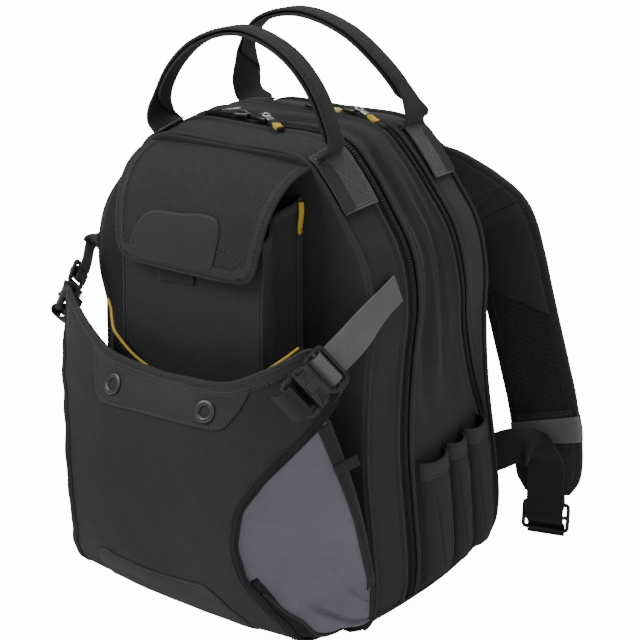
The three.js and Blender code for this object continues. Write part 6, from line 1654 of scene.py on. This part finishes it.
def make_sleeves(hand, sign):
    """Three open sleeves on the main band, each a wall that stands off it, with a bound hem."""
    plan = np.array([(0, 0), (0.05, 0.72), (0.22, 0.95), (0.5, 1), (0.78, 0.95), (0.95, 0.72), (1, 0)])
    up = np.array([(0, 0), (0.04, 0.7), (0.15, 0.85), (0.5, 0.92), (0.85, 0.98), (1, 1)])
    start = ZIP1_Y + ZIP_WIDTH / 2 + SEAM_GAP / 2
    for k, (low, high, share, bulge) in enumerate(SLEEVES, 1):
        height = (SLEEVE_TOP - SLEEVE_BOTTOM) * share
        q, v = np.linspace(0, 1, 61)[None], np.linspace(0, 1, 90)[:, None]
        out = np.interp(q, plan[:, 0], plan[:, 1]) * 0.35 + 0.65 * (1 - np.abs(2 * q - 1) ** 2.6) ** 0.6
        rise = np.interp(v, up[:, 0], up[:, 1]) * ease(v, -0.03, 0.06)
        sag = 1 - 0.10 * bell(v, 0.9, 0.1) * bell(q, 0.5, 0.5)
        z = SLEEVE_BOTTOM + height * v
        z = z + 0 * q - 2.6 * (1 - (2 * q - 1) ** 2) * ease(v, 0.75, 1.0)
        width = zip2_y(z) - ZIP_WIDTH / 2 - SEAM_GAP / 2 - start
        y = start + width * (low + (high - low) * q)
        crease = (-1.3 * bell(q + 0.1 * v, 0.32 + 0.1 * np.sin(v * 3 + k), 0.035) * ease(v, 0.05, 0.3)
                * (1 - ease(v, 0.55, 0.85)) - 1.1 * bell(q - 0.06 * v, 0.7, 0.04) * (1 - ease(v, 0.3, 0.75)))
        soft = 0.7 * ripple(q * 40 + 50 * k, v * 120, 90 + k, 40) * np.sin(np.pi * q)
        pinch = 0.5 * np.sin(v * 70 + k) * (bell(q, 0.03, 0.05) + bell(q, 0.97, 0.05))
        stand = np.maximum(0.9 + bulge * out * rise * sag + (crease + soft + pinch) * np.minimum(1, out), 0.9)
        s = share_at_height(z)
        grid = body_point(s if sign > 0 else 1 - s, y, stand)
        inner = body_point(s if sign > 0 else 1 - s, y, np.maximum(stand - 2.0, 0.2))
        sleeve = Surface(grid, (0, 20, 80))
        dress(wall(f"sleeve_cloth_{k}_{hand}", grid, 2.0, CANVAS, (0, 20, 80), inner=inner), "body_cloth",
              f"sleeve_{k}_{hand}")
        band = HEM_BAND / height
        u = np.linspace(0.015, 0.985, 60)
        hem = between(sleeve, [(a, 0.998) for a in u[::6]], [(a, 1 - band) for a in u[::6]], 12, 60, 0.75)
        dress(wall(f"sleeve_hem_{k}_{hand}", hem, 0.7, HEMCLOTH, (0, 20, 80)), "body_cloth")
        for level in (0.985, 1 - band + 0.018):
            stitch_on(sleeve, u, np.full(60, level), lift=0.85, colour="dark")
        for edge in (0.03, 0.97):
            stitch_on(sleeve, np.full(60, edge), np.linspace(0.03, 0.99, 60), lift=0.3, colour="dark")


for hand, sign in HANDS:
    make_sleeves(hand, sign)


# Zip sliders and pulls
def share_at_x(x):
    """The share of the outline at which its top passes a place across."""
    s = np.linspace(0.3, 0.7, 4000)
    return np.interp(-x, -outline.at(s)[:, 0], s)


def make_slider(name, zip_name, x, lay, swing, tab):
    """A cast slider with its bridge, a stamped pull in its ring and a cloth tab on the pull's end."""
    def on_zip(x, lift, ahead=0.0):
        """A point over the zip at a place across, lifted and moved ahead."""
        s = share_at_x(x)
        z = outline.at(np.array([s]))[0, 1]
        depth = ZIP1_Y if zip_name == "front" else float(zip2_y(z))
        return body_point(s, depth + ahead, 2.2 - 1.0 + SEAM_GAP + lift)

    slope = on_zip(x + lay, 0) - on_zip(x - lay, 0)
    frame = frame_at(on_zip(x, SLIDER_HEIGHT / 2 + 0.2), slope, (0, 0, 1))
    l, w = SLIDER_LENGTH / 2, SLIDER_WIDTH / 2
    plate = [(w * 0.55, -l), (w * 0.7, -l * 0.5), (w, l * 0.35), (w * 0.95, l * 0.85), (w * 0.6, l),
            (w * 0.15, l * 0.8), (-w * 0.15, l * 0.8), (-w * 0.6, l), (-w * 0.95, l * 0.85), (-w, l * 0.35),
            (-w * 0.7, -l * 0.5), (-w * 0.55, -l)]
    body = moulded(f"slider_plate_{name}", plate, 3.2, frame, 1, bevel=0.7)
    bridge = round_bar(f"slider_bridge_{name}", [(0, -l * 0.75, 1.2), (0, -l * 0.5, 2.9), (0, l * 0.3, 3.1),
            (0, l * 0.6, 1.2)], 0.95, PLASTIC, frame, 1)
    slider = join(f"slider_body_{name}", [body, bridge])
    slider.data.materials.clear()
    slider.data.materials.append(DARKSILVER)
    dress(slider, "zip_metal", f"slider_{name}")
    angle = math.radians(swing)
    spot = lambda d, lift: on_zip(x + lay * d * math.cos(angle), lift + PULL_THICKNESS / 2,
            d * math.sin(angle))
    start = SLIDER_LENGTH / 2 - PULL_OVERLAP
    a, b = spot(start, SLIDER_HEIGHT + 3 * SEAM_GAP), spot(start + PULL_LENGTH, 0.4)
    frame = frame_at((a + b) / 2, b - a, (0, 0, 1))
    h, w = PULL_LENGTH / 2, PULL_WIDTH / 2
    ring = [(w * 0.62 * np.cos(t), -h + w * 0.7 + w * 0.62 * np.sin(t), 0)
            for t in np.linspace(0, 2 * np.pi, 20)]
    metal = [round_bar(f"pull_ring_{name}", ring, 1.0, SILVER, frame, 1, closed=True),
            moulded(f"pull_plate_{name}", [(w * 0.5, -h + 5.5), (w * 0.66, -h + 8), (w * 0.62, 1.5),
            (w * 0.3, 2.6), (-w * 0.3, 2.6), (-w * 0.62, 1.5), (-w * 0.66, -h + 8), (-w * 0.5, -h + 5.5)],
            1.5, frame, 1, bevel=0.5)]
    pull = join(f"pull_metal_{name}", metal)
    pull.data.materials.clear()
    pull.data.materials.append(SILVER)
    dress(pull, "zip_metal", f"pull_{name}")
    for part, y0, y1, half, thick, material in tab:
        t = np.linspace(0, 1, 24)
        path = np.stack([0.6 * np.sin(t * 3), y0 + (y1 - y0) * t, 0.2 - 0.5 * np.sin(t * 2.6) + 0.03 * y0],
                -1)
        centres = to_world(frame, path)
        width, out = across_axes(unit(np.gradient(centres, axis=0)), frame[1][0])
        dress(sweep(f"pull_{part}_{name}", centres, width, out, half, thick, material, corners=16),
              "yellow_tape" if material in (YELLOW, PALETAB) else "black_webbing")


first_main = 0.03 * BODY_HALF_WIDTH
make_slider("front_left", "front", -0.17 * BODY_HALF_WIDTH, -1, 0, [("tail", 0.0, 22.0, 2.6, 0.8, BLACKWEB)])
make_slider("front_right", "front", -0.02 * BODY_HALF_WIDTH, 1, -26,
        [("tab", -0.5, 16.0, 3.4, 1.3, BLACKWEB), ("tip", 7.0, 14.0, 3.6, 1.6, YELLOW)])
make_slider("main_left", "main", first_main, 1, -8, [("tab", 0.0, 11.0, 2.8, 1.1, BLACKWEB),
        ("tip", 10.0, 15.0, 3.0, 1.4, PALETAB)])
make_slider("main_right", "main", first_main + PULL_LENGTH + SLIDER_LENGTH - PULL_OVERLAP + SEAM_GAP, 1, -12,
        [("tab", -1.0, 19.0, 2.8, 1.1, BLACKWEB), ("tip", 1.0, 11.0, 3.1, 1.4, YELLOW)])


# Back pad: a swollen cushion in air mesh, with sewn channels and a bound edge


def pad_base(u, v):
    """The back pad's outline in shares -1 to 1, on the back panel, with its corners drawn in."""
    z = (BACK_PAD_TOP + BACK_PAD_BOTTOM) / 2 + v * (BACK_PAD_TOP - BACK_PAD_BOTTOM) / 2 * (1 - 0.05
            * np.abs(u) ** 5)
    x = BACK_PAD_HALF_WIDTH * u * (1 - 0.12 * np.abs(v) ** 4)
    return np.stack([x, rear_y(z) + CLOTH + 2 * SEAM_GAP, z], -1)


def make_back_pad():
    """A shape a little under the pad's own, blown up as cloth with its points held near, then quilted."""
    u, v = np.meshgrid(np.linspace(-1, 1, 70), np.linspace(-1, 1, 78))
    edge = np.maximum(np.abs(u), np.abs(v))
    crown = np.minimum(1, 2.8 * (1 - edge)) ** 0.5
    base = pad_base(u, v)
    lift = 0.5 + (BACK_PAD_THICKNESS - 5.0) * crown + (PAD_RIM - 1.0) * 0.8
    out = np.array([0, 1, 0.0])
    pad = wall("back_cushion", base + lift[..., None] * out, 1, AIRMESH, (0, 0, 160), inner=base + 0.3 * out)
    remesh = pad.modifiers.new("voxels", "REMESH")
    remesh.mode, remesh.voxel_size = "VOXEL", PAD_VOXEL
    with bpy.context.temp_override(object=pad, active_object=pad):
        bpy.ops.object.modifier_apply(modifier=remesh.name)
    cloth = pad.modifiers.new("cloth", "CLOTH")
    cloth.settings.use_pressure = True
    cloth.settings.uniform_pressure_force = PAD_PRESSURE
    cloth.settings.effector_weights.gravity = 0.0
    cloth.point_cache.frame_start, cloth.point_cache.frame_end = 1, PAD_FRAMES
    scene = bpy.context.scene
    start = np.empty(len(pad.data.vertices) * 3, np.float32)
    pad.data.vertices.foreach_get("co", start)
    for frame in range(1, PAD_FRAMES + 1):
        scene.frame_set(frame)
    blown = pad.evaluated_get(bpy.context.evaluated_depsgraph_get()).data
    end = np.empty(len(start), np.float32)
    blown.vertices.foreach_get("co", end)
    pad.modifiers.remove(cloth)
    scene.frame_set(1)
    start, end = start.reshape(-1, 3), end.reshape(-1, 3)
    move = end - start
    far = np.linalg.norm(move, axis=1, keepdims=True)
    move = move * np.minimum(1, PAD_REACH / np.maximum(far, 1e-6))
    pad.data.vertices.foreach_set("co", (start + move).astype(np.float32).ravel())
    pad.data.update()
    smooth = pad.modifiers.new("smooth", "SUBSURF")
    smooth.levels = smooth.render_levels = 1
    with bpy.context.temp_override(object=pad, active_object=pad):
        bpy.ops.object.modifier_apply(modifier=smooth.name)
    mesh = pad.data
    co = np.empty(len(mesh.vertices) * 3, np.float32)
    mesh.vertices.foreach_get("co", co)
    p = co.reshape(-1, 3) / MM
    floor = rear_y(p[:, 2]) + CLOTH + 2 * SEAM_GAP
    height = p[:, 1] - floor
    channel = sum(bell(p[:, 0], x, CHANNEL_WIDTH) for x in PAD_CHANNELS) + bell(p[:, 2], PAD_CROSS,
            CHANNEL_WIDTH)
    height = height * (1 - CHANNEL_DEPTH * np.clip(channel, 0, 1))
    p[:, 1] = floor + np.clip(height, 0.2, BACK_PAD_THICKNESS + 4.0)
    mesh.vertices.foreach_set("co", (p * MM).astype(np.float32).ravel())
    mesh.polygons.foreach_set("use_smooth", np.ones(len(mesh.polygons), bool))
    mesh.update()
    dress(pad, "back_mesh", "back_pad")
    t = np.linspace(-1, 1, 60)
    rim = np.concatenate([np.stack([t, -1 + 0 * t], -1), np.stack([1 + 0 * t, t], -1)[1:],
            np.stack([-t, 1 + 0 * t], -1)[1:], np.stack([-1 + 0 * t, -t], -1)[1:-1]])
    path = pad_base(rim[:, 0], rim[:, 1]) + out * 2.0
    dress(cord_along("back_pad_piping", path, 2.4, BINDING, hint=(0, 1, 0), closed=True), "body_cloth")


make_back_pad()

# The threads noted on the way, one mesh for each colour
for colour, material, slot in (("light", THREAD, "black_webbing"), ("dark", DARKTHREAD, "black_webbing"),
        ("pale", PALETHREAD, "grey_webbing")):
    dress(sew(colour, f"{colour}_stitches", material), slot)
